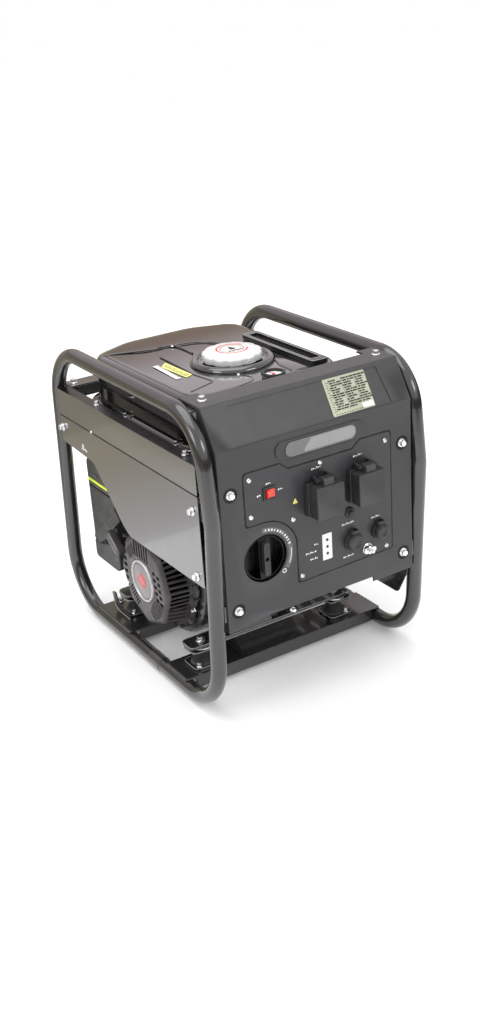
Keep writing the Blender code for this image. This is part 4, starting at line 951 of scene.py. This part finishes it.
def build_side_panels():
    left = ((20, 225), (251, 223), (271, 235), (358, 315), (471, 321), (471, 366.6), (20, 366.6))
    right = ((24, 150), (66, 72), (471, 72), (471, 366.6), (20, 366.6))
    band = ((20, 369.0), (471, 369.0), (471, 413), (20, 413))
    shapes = ((-1, left, (4, 30, 30, 20, 6, 1, 1), "left"), (1, right, (10, 12, 12, 1, 1), "right"))
    for side, corners, radii, name in shapes:
        x0, x1 = sorted((side * 190.0, side * 191.6))
        sheet = prism(filleted(corners, radii, 6), "x", x0, x1)
        made = piece(f"side_sheet_{name}", sheet, "sheet_black", soften=0.45, replaces=f"side_panel_{name}")
        if side > 0:
            slots = []
            for row in range(7):
                for column in range(3):
                    y, z = 140 + 105 * column, 120 + 30 * row
                    slots.append(slab("x", 184, 196, y, y + 84, z, z + 9, 4.4, 20))
            cut(made, merged(*slots))
        strip = prism(filleted(band, (1, 1, 2, 2), 20), "x", x0, x1)
        piece(f"side_band_{name}", strip, "sheet_black", soften=0.45, slot="sheet_black")
        shelf = block(*sorted((side * 171.5, side * 191.0)), 24, 468, 411.4, 413)
        piece(f"side_shelf_{name}", shelf, "shelf_black", soften=0.5, slot="sheet_black")
        lip = block(*sorted((side * 171.5, side * 172.9)), 24, 468, 407, 413)
        piece(f"side_lip_{name}", lip, "sheet_black", soften=0.5, slot="sheet_black")
        # Painted shade: a black strip behind the gap between sheet and band stands in for the shade in the joint.
        seam = block(*sorted((side * 190.3, side * 191.2)), 21, 470, 366.2, 369.4)
        piece(f"side_seam_shade_{name}", seam, "seal_and_shade_black")
    rivet = turned([(0, -191.5), (2.2, -191.5), (2.0, -192.6), (1.2, -193.2), (0, -193.3)], "x", (352, 369), 24)
    piece("side_rivet_left", rivet, "zinc", smooth=60)
    marks = [(378 + 4.2 * i, 380.6 + 4.2 * i, 326 + (i % 3), 329.4 + 2 * (i % 2)) for i in range(5)]
    marks += [(387, 395, 332.4, 334.2), (390, 392.4, 334, 337.6)]
    piece("side_mark_left", merged(*(block(-191.75, -191.55, *mark) for mark in marks)), "mark_white")


# Recoil starter and blower


def octagon(angle, _radius):
    """How far an eight-sided outline with cut corners reaches, as a share of its corner radius."""
    eighth = math.pi / 4
    off = (angle % eighth) - eighth / 2
    return min(0.985, math.cos(eighth / 2) / math.cos(off))


def recoil_slot(x0, x1, u, v, length, width, degrees, turn=0.0):
    """A bar centred at (u, v) on the face with its length at this angle, then turned about the crank."""
    outline = rounded_rectangle(-length / 2, length / 2, -width / 2, width / 2, min(width, length) * 0.3, 30)
    bar = prism(outline, "x", x0, x1)
    bar.transform(Matrix.Rotation(math.radians(degrees), 4, "X"))
    bar.transform(Matrix.Translation((0, u, v)))
    bar.transform(Matrix.Rotation(math.radians(turn), 4, "X"))
    bar.transform(Matrix.Translation((0, CRANK_Y, CRANK_Z)))
    return bar


def build_recoil():
    face = -178.0
    crank = (CRANK_Y, CRANK_Z)
    shell = [
        (0, face), (69, face), (73, face + 0.7), (76.5, face + 2.6), (79, face + 6), (84.5, -138), (86, -134.6),
        (93, -134), (94, -133), (94, -129), (93, -128), (81, -128), (75.5, face + 9), (69, face + 3.5),
        (5.6, face + 3.5), (5.6, -148), (0, -148),
    ]
    housing = piece(
        "recoil_shell", turned(shell, "x", crank, 96, octagon), "recoil_plastic", replaces="recoil_housing",
        smooth=30,
    )
    deep = (face - 4, face + 7)
    slots = []
    for i in range(6):
        u = 21.5 - 8.2 * i
        slots.append(recoil_slot(*deep, u, 53.5 - abs(u) * 0.1, 30, 4.9, 90))
    for column, u in enumerate((-41, -54.5)):
        for i in range(5):
            slots.append(recoil_slot(*deep, u - 1.4 * i + 3, 27 - 11.2 * i - 3 * column, 9.6, 6.0, 0))
    for i in range(8):
        shift = -21 + 6.2 * i
        u, v = -37.5 + shift * 0.707, -37.5 - shift * 0.707
        slots.append(recoil_slot(*deep, u, v, 29 - abs(shift) * 0.4, 3.7, 45))
    for i in range(6):
        slots.append(recoil_slot(*deep, 60, 30 - 11.6 * i, 11.5, 7.4, 0))
    for i in range(7):
        shift = -15 + 5.0 * i
        u, v = 36 + shift * 0.707, -39 + shift * 0.707
        slots.append(recoil_slot(*deep, u, v, 17, 2.5, -45))
    for turn in (0, 1, 2, 5, 6, 7):
        for i in range(9):
            bar = block(face + 7, -140, -92, -66, -33 + 8.2 * i - 2.5, -33 + 8.2 * i + 2.5)
            bar.transform(Matrix.Rotation(math.radians(45 * turn), 4, "X"))
            bar.transform(Matrix.Translation((0, *crank)))
            slots.append(bar)
    cut(housing, *slots)
    housing.data.set_sharp_from_angle(angle=math.radians(30))
    bevelled(housing, 0.45, 2, 50)
    ribs = []
    for i in range(7):
        shift = -13 + 4.4 * i
        ribs.append(recoil_slot(face - 0.9, face + 1, 37 + shift * 0.707, 40 - shift * 0.707, 17, 1.5, 45))
    for i in range(24):
        degrees = 15 * i + 7.5
        if 28 < degrees < 64:
            continue
        ribs.append(recoil_slot(-138.5, -127.6, 89.5, 0, 7.0, 1.8, 0, degrees))
    piece("recoil_ribs", ribs, "recoil_plastic", soften=0.3, segments=2)
    # Painted shade: a near-black disc just behind the housing makes the slots read as shaded holes.
    shade_disc_profile = [(6, face + 4.4), (68, face + 4.4), (71, face + 10), (71, -141), (70.2, -141), (70.2, face + 10.4)]
    shade_disc_profile += [(67.4, face + 5.2), (6, face + 5.2)]
    piece("recoil_slot_shade", turned(shade_disc_profile, "x", crank, 64), "painted_shade_black")
    rim = [(30.6, face - 0.4), (32.0, face - 3.4), (34.4, face - 3.4), (35.4, face - 2.0), (35.4, face + 0.6)]
    rim.append((30.6, face + 0.6))
    piece("emblem_rim", turned(rim, "x", crank, 72), "emblem_rim", smooth=50)
    disc = [(0, face - 2.6), (29.0, face - 2.6), (30.6, face - 1.6), (30.8, face - 0.2), (0, face - 0.2)]
    piece("emblem_disc", turned(disc, "x", crank, 72), "emblem", replaces="recoil_emblem", smooth=50)
    mark = filleted(((-15, -2), (-3, -13), (14, -5), (15, 4), (2, 13), (-12, 8)), (4, 5, 3, 3, 5, 4), 12)
    mark = [(CRANK_Y + u, CRANK_Z + v) for u, v in mark]
    piece("emblem_mark", prism(mark, "x", face - 3.0, face - 2.4), "emblem_red", soften=0.2, segments=2)
    stripe = recoil_slot(face - 3.15, face - 2.8, 0, 0, 20, 3.4, 24)
    piece("emblem_stripe", stripe, "emblem_pink", soften=0.1, segments=2)
    spots = [(-134.0, *around(crank, 88, degrees)) for degrees in (22, 112, 202, 292)]
    flange_bolts("recoil_bolt", spots, "x", -1, 4.6)

    guide = piece("rope_guide", block(-160, -150, 316, 349, 167, 183), "recoil_plastic", soften=1.5)
    cut(guide, rod("x", (GRIP_Y, GRIP_Z), 4.2, -170, -140, 32))
    bar = slab("x", -184, -170, -24, 24, -7, 7, 6.5)
    # Painted highlights: two pale grey lines along the grip's rounded edges stand in for the light caught on them.
    edges = []
    for shift in (-6.2, 6.2):
        path = [(-184.0, u, shift) for u in (-17, 0, 17)]
        edges.append(swept(path, 0.8, 10, Vector((1, 0, 0)), False))
    highlight_lines = merged(*edges)
    for mesh in (bar, highlight_lines):
        mesh.transform(Matrix.Rotation(math.radians(36), 4, "X"))
        mesh.transform(Matrix.Translation((0, GRIP_Y, GRIP_Z)))
    piece("grip_bar", bar, "recoil_plastic", "grip", soften=2.6, replaces="recoil_grip", segments=4)
    piece("grip_edge_highlights", highlight_lines, "edge_grey", "grip", smooth=80)
    ferrule = [(0, -172), (7, -172), (6.4, -169), (4, -163), (3.6, -151), (0, -151)]
    piece("grip_ferrule", turned(ferrule, "x", (GRIP_Y, GRIP_Z), 32), "dark_plastic", "grip")

    radius = 105.0
    steps = ((8, -126), (3, -124.6), (0, -120), (0, -108), (2.4, -106.6), (2.4, -103.4), (0, -102), (0, -93))
    steps += ((4, -91), (4, -81), (0, -79), (0, -64), (1.8, -62.8), (1.8, -60.2), (0, -59), (0, -46))
    steps += ((7, -46), (7, -120))
    drum = [(70, -126), *((radius - inset, x) for inset, x in steps), (radius - 9, -122.8), (70, -122.8)]
    blower = piece(
        "blower_drum", turned(drum, "x", crank, 96), "blower_black", replaces="blower_housing",
        slot="frame_black", smooth=40,
    )
    cut(blower, block(-112, -60, 320, 372, 130, 200))
    for i, degrees in enumerate((70, 160, 250, 205)):
        ear = rod("x", around(crank, radius + 1, degrees), 6.5, -60, -46, 28)
        piece(f"blower_ear_{i}", ear, "blower_black", soften=0.6)
        flange_bolt(f"blower_bolt_{i}", (-60.0, *around(crank, radius + 2, degrees)), "x", -1, 5.0)


# Air cleaner


def build_air_cleaner():
    corners = ((357, 107), (449, 107), (449, 292), (332, 292), (332, 256), (357, 236))
    outline = filleted(corners, (14, 8, 12, 8, 4, 10), 8)
    base = prism(outline, "x", -97.5, -75)
    piece("filter_base", base, "dark_plastic", soften=1.2, replaces="air_cleaner_base", slot="frame_black")
    cover = piece(
        "filter_cover", prism(outline, "x", -165, -98), "filter_plastic", soften=3.5, segments=5,
        replaces="air_cleaner_cover", slot="frame_black",
    )
    inset = [(y + (4 if y < 400 else -4), z + (4 if z < 200 else -4)) for y, z in outline]
    cut(cover, prism(inset, "x", -161, -90))

    def wrap(name, z0, z1, proud, finish):
        """A strip round the cover's outer, front and rear faces."""
        front, rear, outer = 332 - proud, 449 + proud, -165 - proud
        path = filleted(((front, -100), (front, outer), (rear, outer), (rear, -100)), (0, 4, 4, 0), 15, False)
        front, rear, outer = front + 1.4, rear - 1.4, outer + 1.4
        back = filleted(((rear, -100), (rear, outer), (front, outer), (front, -100)), (0, 3, 3, 0), 15, False)
        strip = prism([(x, y) for y, x in path + back], "z", z0, z1)
        piece(name, strip, finish, soften=0.3, segments=2)

    wrap("filter_strip", 250.5, 255.5, 0.8, "strip_yellow")
    wrap("filter_band", 241.5, 246.5, 0.9, "edge_grey")
    teeth = [block(-167.0, -165.2, y, y + 1.7, 241.9, 246.1) for y in range(338, 446, 4)]
    piece("filter_band_ribs", teeth, "seal_and_shade_black")
    lug = filleted(((447, 147), (424, 141), (396, 158), (333, 213), (350, 226)), (4, 6, 10, 4, 4), 12)
    piece("filter_lug", prism(lug, "x", -169.5, -164), "filter_plastic", soften=1.4, segments=3)
    # Painted shade: a black wedge fills the gap between the lug and the foot where shade falls.
    wedge = [(424, 140), (396, 156), (404, 140)]
    piece("filter_wedge_shade", prism(wedge, "x", -166.4, -164), "seal_and_shade_black", soften=0.4)
    step = filleted(((449, 107), (449, 138), (425, 138), (394, 148), (357, 146), (357, 107)), (8, 2, 8, 8, 6, 14), 12)
    piece("filter_foot", prism(step, "x", -166.6, -164), "filter_plastic", soften=1.2)
    hinge = [block(-166.8, -163, y, y + 16, 262, 268) for y in (350, 410)]
    piece("filter_hinges", hinge, "filter_plastic", soften=0.8)
    clip = filleted(((451, 158), (454.5, 158), (454.5, 188), (451, 188)), (0, 1.2, 1.2, 0), 20)
    hook = block(-131, -126, 450.2, 456.5, 160, 186)
    piece("filter_clip", prism(clip, "x", -128, -88), "dark_plastic", "clip", soften=0.5, replaces="air_cover_clip")
    piece("filter_clip_hook", hook, "dark_plastic", "clip", soften=0.8)


# Mounts and cross-members


def build_mounts():
    low, high = 27.7, 61.7
    middle = (low + high) / 2
    for name, x, y in (("fl", -140, 145), ("fr", 115, 145), ("rl", -140, 365), ("rr", 115, 365)):
        lower = [(0, low), (18.4, low), (19, low + 0.6), (19, low + 3), (17, low + 4.4), (14.4, low + 6.4)]
        upper = [(14.4, high - 6.4), (17, high - 4.4), (19, high - 3), (19, high - 0.6), (18.4, high), (0, high)]
        profile = [*lower, (12.5, middle), *upper]
        rubber = turned(profile, "z", (x, y), 56)
        piece(f"mount_rubber_{name}", rubber, "rubber", replaces=f"rubber_mount_{name}", smooth=50)
        for z in (low - 0.1, high - 1.9):
            washer = [(0, z), (20.4, z), (20.4, z + 1.6), (19.8, z + 2.0), (0, z + 2.0)]
            piece(f"mount_washer_{name}_{int(z)}", turned(washer, "z", (x, y), 48), "zinc")
        flange_bolt(f"mount_bolt_{name}", (x, y, 66.0), "z", 1, 8.0)
    arms = (("front", 145, -1, 128, 164, (180.5, 184.5)), ("rear", 365, 1, 347, 382, (328.5, 332.5)))
    for name, y, out, y0, y1, foot in arms:
        bar = slab("z", 62, 65.6, -166, 138, y0, y1, 9)
        lines = sorted((y0, y1, *foot))
        web = block(-40, 65, lines[0] + 1, lines[-1], 62, 65.4)
        plate = block(-40, 65, *foot, 63, 108)
        piece(f"arm_bar_{name}", bar, "frame_black", soften=0.7, replaces=f"engine_arm_{name}")
        piece(f"arm_foot_{name}", merged(web, plate), "frame_black", soften=0.7, slot="frame_black")
        # Painted highlight: a pale grey bead round the arm's top edge stands in for the light caught on it.
        edge = [(u, v, 65.7) for u, v in rounded_rectangle(-165.4, 137.4, y0 + 0.6, y1 - 0.6, 8.4)]
        piece(f"arm_edge_highlight_{name}", bead(edge, 0.55, 8, True), "edge_grey", smooth=80)
        for side, x in ((-1, -140), (1, 115)):
            ends = (x - 24, x + 20) if side < 0 else (x - 20, x + 24)
            tab = slab("z", 55.0, 57.6, *ends, y - 20, y + 18, 8)
            piece(f"arm_tab_{name}_{side + 1}", tab, "frame_black", soften=0.6)
            flange = slab("z", 27.6, 30.8, *ends, y - 23, y + 20, 9)
            piece(f"mount_foot_{name}_{side + 1}", flange, "frame_black", soften=0.6)
            # Painted highlights: pale grey beads round the tab and foot edges stand in for the light caught on them.
            for z, near, far in ((57.6, y - 19.6, y + 17.6), (30.8, y - 22.6, y + 19.6)):
                line = [(u, v, z) for u, v in rounded_rectangle(ends[0] + 0.4, ends[1] - 0.4, near, far, 8)]
                piece(f"mount_line_{name}_{side + 1}_{int(z)}", bead(line, 0.6, 8, True), "edge_grey", smooth=80)
            flange_bolt(f"mount_nut_{name}_{side + 1}", (x + 14 * side, y - 15, 30.8), "z", 1, 5.0)
        for x in (-25, 50):
            flange_bolt(f"arm_bolt_{name}_{x}", (x, foot[0] if out < 0 else foot[1], 92), "y", out, 7.0)
    for name, y0, y1 in (("front", 112, 178), ("rear", 300, 418)):
        plate = block(-186, 186, y0, y1, 24.4, 27.4)
        member = piece(
            f"member_plate_{name}", plate, "frame_black", soften=0.8, replaces=f"cross_member_{name}",
        )
        flanges = [block(-169.7, 169.7, y, y + 3, 6, 26.4) for y in (y0, y1 - 3)]
        piece(f"member_flanges_{name}", flanges, "frame_black", soften=0.8, slot="frame_black")
        if name == "rear":
            cut(member, *[rod("z", (x, (y0 + y1) / 2), 9, 20, 30, 36) for x in (-70, 0, 60)])
        welds = []
        for side in (-1, 1):
            beads = range(int((y1 - y0 - 6) / 4) + 1)
            welds.append(bead([(side * 186, y0 + 3 + k * 4, 24.6 + 0.6 * (k % 2)) for k in beads], 2.2, 8))
        piece(f"member_weld_{name}", welds, "frame_black", smooth=70)
    plate = block(-169.5, 169.5, 463, 494, 409, 412)
    flange = block(-169.5, 169.5, 491, 494, 380, 410)
    piece("rear_plate", plate, "sheet_black", soften=0.8, replaces="rear_cross_plate")
    piece("rear_plate_flange", flange, "sheet_black", soften=0.8)
    hook = ((398, 58), (391, 33), (376, 27.6), (337, 27.6), (337, 36), (368, 38), (382, 44), (388, 58))
    hook = filleted(hook, (2, 10, 10, 2, 2, 14, 10, 2), 10)
    piece("rear_bracket", prism(hook, "x", -168, -165), "frame_black", soften=0.6)
    # Painted highlight: a pale grey bead along the bracket's curved edge stands in for the light caught on it.
    highlight_lines = filleted(((397.6, 58), (390.6, 33.4), (375.8, 28), (338, 28)), (0, 10, 10, 0), 10, False)
    piece("rear_bracket_highlight", bead([(-168.2, y, z) for y, z in highlight_lines], 0.7, 8), "edge_grey", smooth=80)
    flange_bolt("member_bolt_rear", (-150, 408, 27.4), "z", 1, 6.5)


# Front cover


def side_outline(grow):
    """The cover's side view moved inwards by grow, as (y, z)."""
    slope = math.atan2(COVER_TOP - COVER_BEND, CREASE_Y)
    lean = grow * math.tan((math.pi / 2 - slope) / 2)
    top_shift = grow * math.tan(slope / 2)
    low = 146.0 if grow else 151.0
    back = 97.0 if grow else 92.0
    top = COVER_TOP - grow
    outline = [(grow, low), (grow, COVER_BEND - lean), (CREASE_Y + top_shift, top), (back, top)]
    return outline + [(back, COVER_TOP - 14), (22, COVER_BEND - 14), (26, low)]


def build_cover():
    shell = prism(side_outline(0.0), "x", -168.5, 168.5)
    cover = piece("cover_shell", shell, "cover_plastic", soften=2.2, segments=4, replaces="front_cover")
    cover.modifiers["edges"].harden_normals = False
    with bpy.context.temp_override(object=cover, active_object=cover):
        bpy.ops.object.modifier_apply(modifier="edges")
    hollow = side_outline(3.0)[:4] + [(97, 300), (97, 140)]
    cut(cover, prism(hollow, "x", -165.5, 165.5), block(-96, 92, -5, 60, 100, 160))
    cut(cover, block(-139, 139, 74, 100, 470, 492))
    seat = prism(panel_outline(0.5), "y", -8, 2.1)
    behind = prism(panel_outline(-5), "y", -8, 8)
    cut(cover, seat, behind, rod("y", (KNOB_X, KNOB_Z), KNOB_R + 1.0, -8, 12, 72))
    recess = prism([(-135, 3.0), (134, 3.0), (127, 60), (-129, 60)], "y", -6.0, 1.2)
    cut(cover, on_slope(recess))
    sinks = [rod("y", (x, z), 11.2, -6, 1.2, 36) for x in (-150, 150) for z in (364, 183)]
    cut(cover, merged(*sinks), rod("z", (-70, -2), 3.0, 140, 163, 20))
    tabs = []
    for side in (-1, 1):
        low, high = sorted((side * 164, side * 172))
        tabs += [block(low, high, 2.9, 7.4, z - 13.6, z + 13.6) for z in (364, 183)]
        tabs.append(block(low, high, 44.4, 71.6, 465, 483))
    cut(cover, merged(*tabs))
    cover.data.set_sharp_from_angle(angle=math.radians(30))
    flat = cover.modifiers.new("flat", "WEIGHTED_NORMAL")
    flat.weight = 100
    flat.keep_sharp = True
    surround = slab("y", -2.6, 1.5, -74, 80, 393, 421, 13.5)
    piece("badge_surround", surround, "cover_plastic", soften=1.6, segments=4)
    # Painted shade: the cup lining the cover's knob recess gets the knob's near-black instead of the cover plastic,
    # for the shaded cavity.
    bore, rim = KNOB_R + 0.7, KNOB_R + 3.2
    cup = [(bore, 1.0), (rim, 1.0), (rim, 30), (6, 30), (6, 27.5), (bore, 27.5)]
    piece("knob_cup", turned(cup, "y", (KNOB_X, KNOB_Z), 72), "knob_black_and_recess_shade", slot="cover_plastic")
    # Painted shade: a thin black patch on the face stands in for the shaded inside of a slot.
    foot = rounded_rectangle(-98, -86, 156.5, 159.5, 1.2, 30)
    piece("cover_slot_shade", prism(foot, "y", -0.25, 0.2), "seal_and_shade_black")
    flange_bolt("guard_bolt", (-55.5, 6.0, 152), "y", -1, 4.4)


# Engine details


def tilted(along, across):
    """The (y, z) point at a distance along the cylinder axis and across it."""
    c, s = math.cos(math.radians(CYLINDER_TILT)), math.sin(math.radians(CYLINDER_TILT))
    return CRANK_Y + along * c - across * s, CRANK_Z + along * s + across * c


def build_engine_details():
    head = [(0, 0), (5.4, 0), (5.4, 1.2), (3.8, 1.4), (3.8, 5.0), (3.2, 5.6), (0, 5.8)]
    for i, across in enumerate((-22, 22)):
        y, z = tilted(200, across)
        for k, x in enumerate((-26, 31)):
            bolt = turned(head, "z", (0, 0), 24)
            bolt.transform(Matrix.Rotation(math.radians(CYLINDER_TILT - 90), 4, "X"))
            bolt.transform(Matrix.Translation((x, y, z)))
            piece(f"valve_bolt_{i}_{k}", bolt, "zinc", smooth=40)
    lead = ((22, 364, 296), (22, 352, 312), (10, 322, 316), (-12, 292, 290), (-22, 262, 262), (-24, 246, 236))
    lead = smooth_route(lead, 40)
    piece("plug_lead", swept(lead, 3.4, 12, Vector((1, 0, 0)), False), "rubber", smooth=80)
    loom = smooth_route(((-38, 200, 205), (-50, 180, 230), (-52, 150, 262), (-40, 125, 280)), 30)
    piece("loom", swept(loom, 4.2, 12, Vector((1, 0, 0)), False), "rubber", smooth=80)

    sheet = slab("z", 297.6, 299.2, 80, 152, 352, 446, 10)
    shield = piece("muffler_shield", sheet, "steel", soften=0.5)
    slots = []
    for row in range(5):
        for column in range(2):
            x, y = 87 + 31 * column, 362 + 17 * row
            slots.append(slab("z", 290, 305, x, x + 27, y, y + 6, 2.9, 20))
    cut(shield, merged(*slots))
    flange_bolts("shield_bolt", [(x, y, 299.2) for y in (360, 438) for x in (87, 145)], "z", 1, 4.0)
    seam = [(x, y, 242.0) for x, y in rounded_rectangle(83.6, 148.4, 344.6, 452.4, 22)]
    piece("muffler_seam", bead(seam, 1.6, 10, True), "muffler_steel", smooth=80)
    guard = [(8.0, 476.4), (12.8, 476.4), (13.2, 474.6), (13.2, 470), (12.2, 470), (12.2, 475), (8.0, 475)]
    piece("outlet_ring", turned(guard, "y", (116, 262), 40), "steel", smooth=50)

    bowl = [(0, 175.4), (10, 175.4), (13.5, 177), (15.4, 180), (15.6, 196), (14, 198), (0, 198)]
    piece("carburettor_bowl", turned(bowl, "z", (-58, 404), 40), "cast_aluminium", smooth=50)
    screw = [(0, 199.8), (2.6, 199.8), (2.6, 197.8), (0, 197.8)]
    for i, x in enumerate((-70, -46)):
        piece(f"bowl_screw_{i}", turned(screw, "z", (x, 404), 20), "zinc")
    lever = filleted(((396, 232), (428, 238), (430, 243), (396, 239)), (2, 2, 2, 2), 20)
    piece("choke_lever", prism(lever, "x", -73, -71.4), "steel", soften=0.4)
    for number, y in ((-20, 205), (40, 265)):
        flange_bolt(f"case_bolt_{number}", (70.0, y, 120), "x", 1, 5.5)
    spots = [(70.2, 196 + 26 * i, z) for i in range(5) for z in (60, 190 - 4 * abs(i - 2))]
    flange_bolts("crank_cover_bolt", spots, "x", 1, 5.0)
    gasket_and_groove_shade = ((186.6, 48.6), (323.4, 48.6), (325.4, 150), (301, 213.4), (232, 227.4), (186.6, 197))
    gasket_and_groove_shade = filleted(gasket_and_groove_shade, (15, 15, 11, 21, 31, 21), 10)
    piece("crankcase_gasket", prism(gasket_and_groove_shade, "x", 55.0, 56.4), "steel", soften=0.3, segments=1)
    flange_bolts("inverter_bolt", [(x, 52.0, z) for z in (184, 322) for x in (-48, 118)], "y", -1, 4.2)
    ribs = [block(-20 + 34 * i, 6 + 34 * i, 49.6, 52, 206, 300) for i in range(4)]
    piece("inverter_ribs", ribs, "cast_aluminium", soften=0.8)


# Camera, light and floor


def look_camera():
    """The main view: the camera's place and axes in the generator's own frame."""
    camera = bpy.data.objects.new("camera", bpy.data.cameras.new("camera"))
    bpy.context.scene.collection.objects.link(camera)
    right = Vector((0.84584, -0.52921, -0.06701))
    down = Vector((-0.26486, -0.30760, -0.91391))
    ahead = Vector((0.46303, 0.79077, -0.40035))
    turn = Matrix((right, -down, -ahead)).transposed().to_4x4()
    camera.matrix_world = Matrix.Translation(Vector((-930.67, -1354.79 + FACE_Y, 1042.72)) * MM) @ turn
    camera.data.sensor_width = 36.0
    camera.data.lens = 43.62
    camera.data.shift_y = -0.0132
    camera.data.clip_start, camera.data.clip_end = 0.05, 50.0
    bpy.context.scene.camera = camera


def area_light(name, place, target, size, power, glossy=True):
    lamp = bpy.data.lights.new(name, "AREA")
    lamp.shape = "RECTANGLE"
    lamp.size, lamp.size_y = size
    lamp.energy = power
    made = bpy.data.objects.new(name, lamp)
    bpy.context.scene.collection.objects.link(made)
    made.location = place
    made.visible_glossy = glossy
    made.rotation_mode = "QUATERNION"
    made.rotation_quaternion = (Vector(target) - Vector(place)).to_track_quat("-Z", "Y")


def reflection_card(name, mesh, colour, glow, fade=None):
    """A studio surface that only shows in reflections, as the room round a white table does.

    fade is (axis, start, end, colour). The card goes from that colour at start to its own at end, in metres.
    """
    card = placed(name, mesh)
    made, tree, shader = nodes_of(name)
    place = tree.nodes.new("ShaderNodeTexCoord").outputs["Object"]
    tint = mixed(tree, noise(tree, place, 1.2), tuple(c * 0.7 for c in colour), tuple(c * 1.3 for c in colour))
    if fade:
        axis, start, end, near = fade
        split = tree.nodes.new("ShaderNodeSeparateXYZ")
        tree.links.new(place, split.inputs["Vector"])
        share = ramp(tree, split.outputs[axis], start, end, 0.0, 1.0)
        tint = mixed(tree, share, tuple(c / glow for c in near), tint)
    tree.links.new(tint, shader.inputs["Emission Color"])
    shader.inputs["Emission Strength"].default_value = glow
    shader.inputs["Base Color"].default_value = (0.0, 0.0, 0.0, 1.0)
    shader.inputs["Roughness"].default_value = 1.0
    card.data.materials.append(made)
    card.visible_camera = False
    card.visible_diffuse = False
    card.visible_shadow = False


def build_studio():
    floor = placed("floor", block(-60000, 60000, -60000, 60000, -20, -0.6))
    made, tree, shader = nodes_of("floor_white")
    place = tree.nodes.new("ShaderNodeTexCoord").outputs["Object"]
    base = mixed(tree, noise(tree, place, 3.0), (0.86, 0.86, 0.86), (0.9, 0.9, 0.9))
    tree.links.new(base, shader.inputs["Base Color"])
    shader.inputs["Roughness"].default_value = 0.95
    shader.inputs["Specular IOR Level"].default_value = 0.0
    shader.inputs["Emission Color"].default_value = (1.0, 1.0, 1.0, 1.0)
    shader.inputs["Emission Strength"].default_value = 0.12
    floor.data.materials.append(made)
    brown, mauve = (0.30, 0.27, 0.21), (0.84, 0.76, 0.8)
    reflection_card("room_rear", block(-6000, 6000, 1300, 1310, -0.4, 690), brown, 1.5)
    start = (640 + FACE_Y) * MM
    fade = ("Y", start, start + 0.42, (0.92, 0.9, 0.92))
    reflection_card("room_rear_floor", block(-6000, 6000, 640, 1300, -0.4, 0.4), brown, 2.0, fade)
    fade = ("Z", 0.72, 0.84, (0.36, 0.27, 0.22))
    reflection_card("room_upper", block(-6000, 6000, 1310, 1320, 690, 2600), mauve, 1.0, fade)
    reflection_card("room_left", block(-1900, -1890, -3000, 3000, -0.4, 900), brown, 1.2)
    reflection_card("room_right", block(1900, 1910, -3000, 3000, -0.4, 900), brown, 0.4)
    reflection_card("room_front", block(-3000, 3000, -2600, -2590, -0.4, 900), brown, 0.4)
    world = bpy.data.worlds.new("studio")
    world.use_nodes = True
    background = world.node_tree.nodes["Background"]
    background.inputs["Color"].default_value = (1.0, 1.0, 1.0, 1.0)
    background.inputs["Strength"].default_value = 1.0
    bpy.context.scene.world = world
    bpy.context.scene.view_settings.view_transform = "Standard"
    area_light("top_softbox", (-0.3, 0.2, 2.6), (0.0, 0.0, 0.3), (2.4, 2.4), 34.0)
    area_light("left_softbox", (-2.4, -0.6, 1.7), (0.0, 0.0, 0.25), (1.0, 1.0), 12.0)
    area_light("front_softbox", (0.9, -2.4, 1.9), (0.0, 0.0, 0.25), (1.2, 0.8), 14.0)
    area_light("rear_softbox", (1.3, 2.3, 1.75), (0.0, 0.1, 0.45), (2.4, 1.0), 10.0, False)


look_camera()
build_studio()
build_frame()
build_fasteners()
build_panel()
build_switches()
build_sockets()
build_earth()
build_labels()
build_tank()
build_filler()
build_side_panels()
build_recoil()
build_air_cleaner()
build_mounts()
build_cover()
build_engine_details()
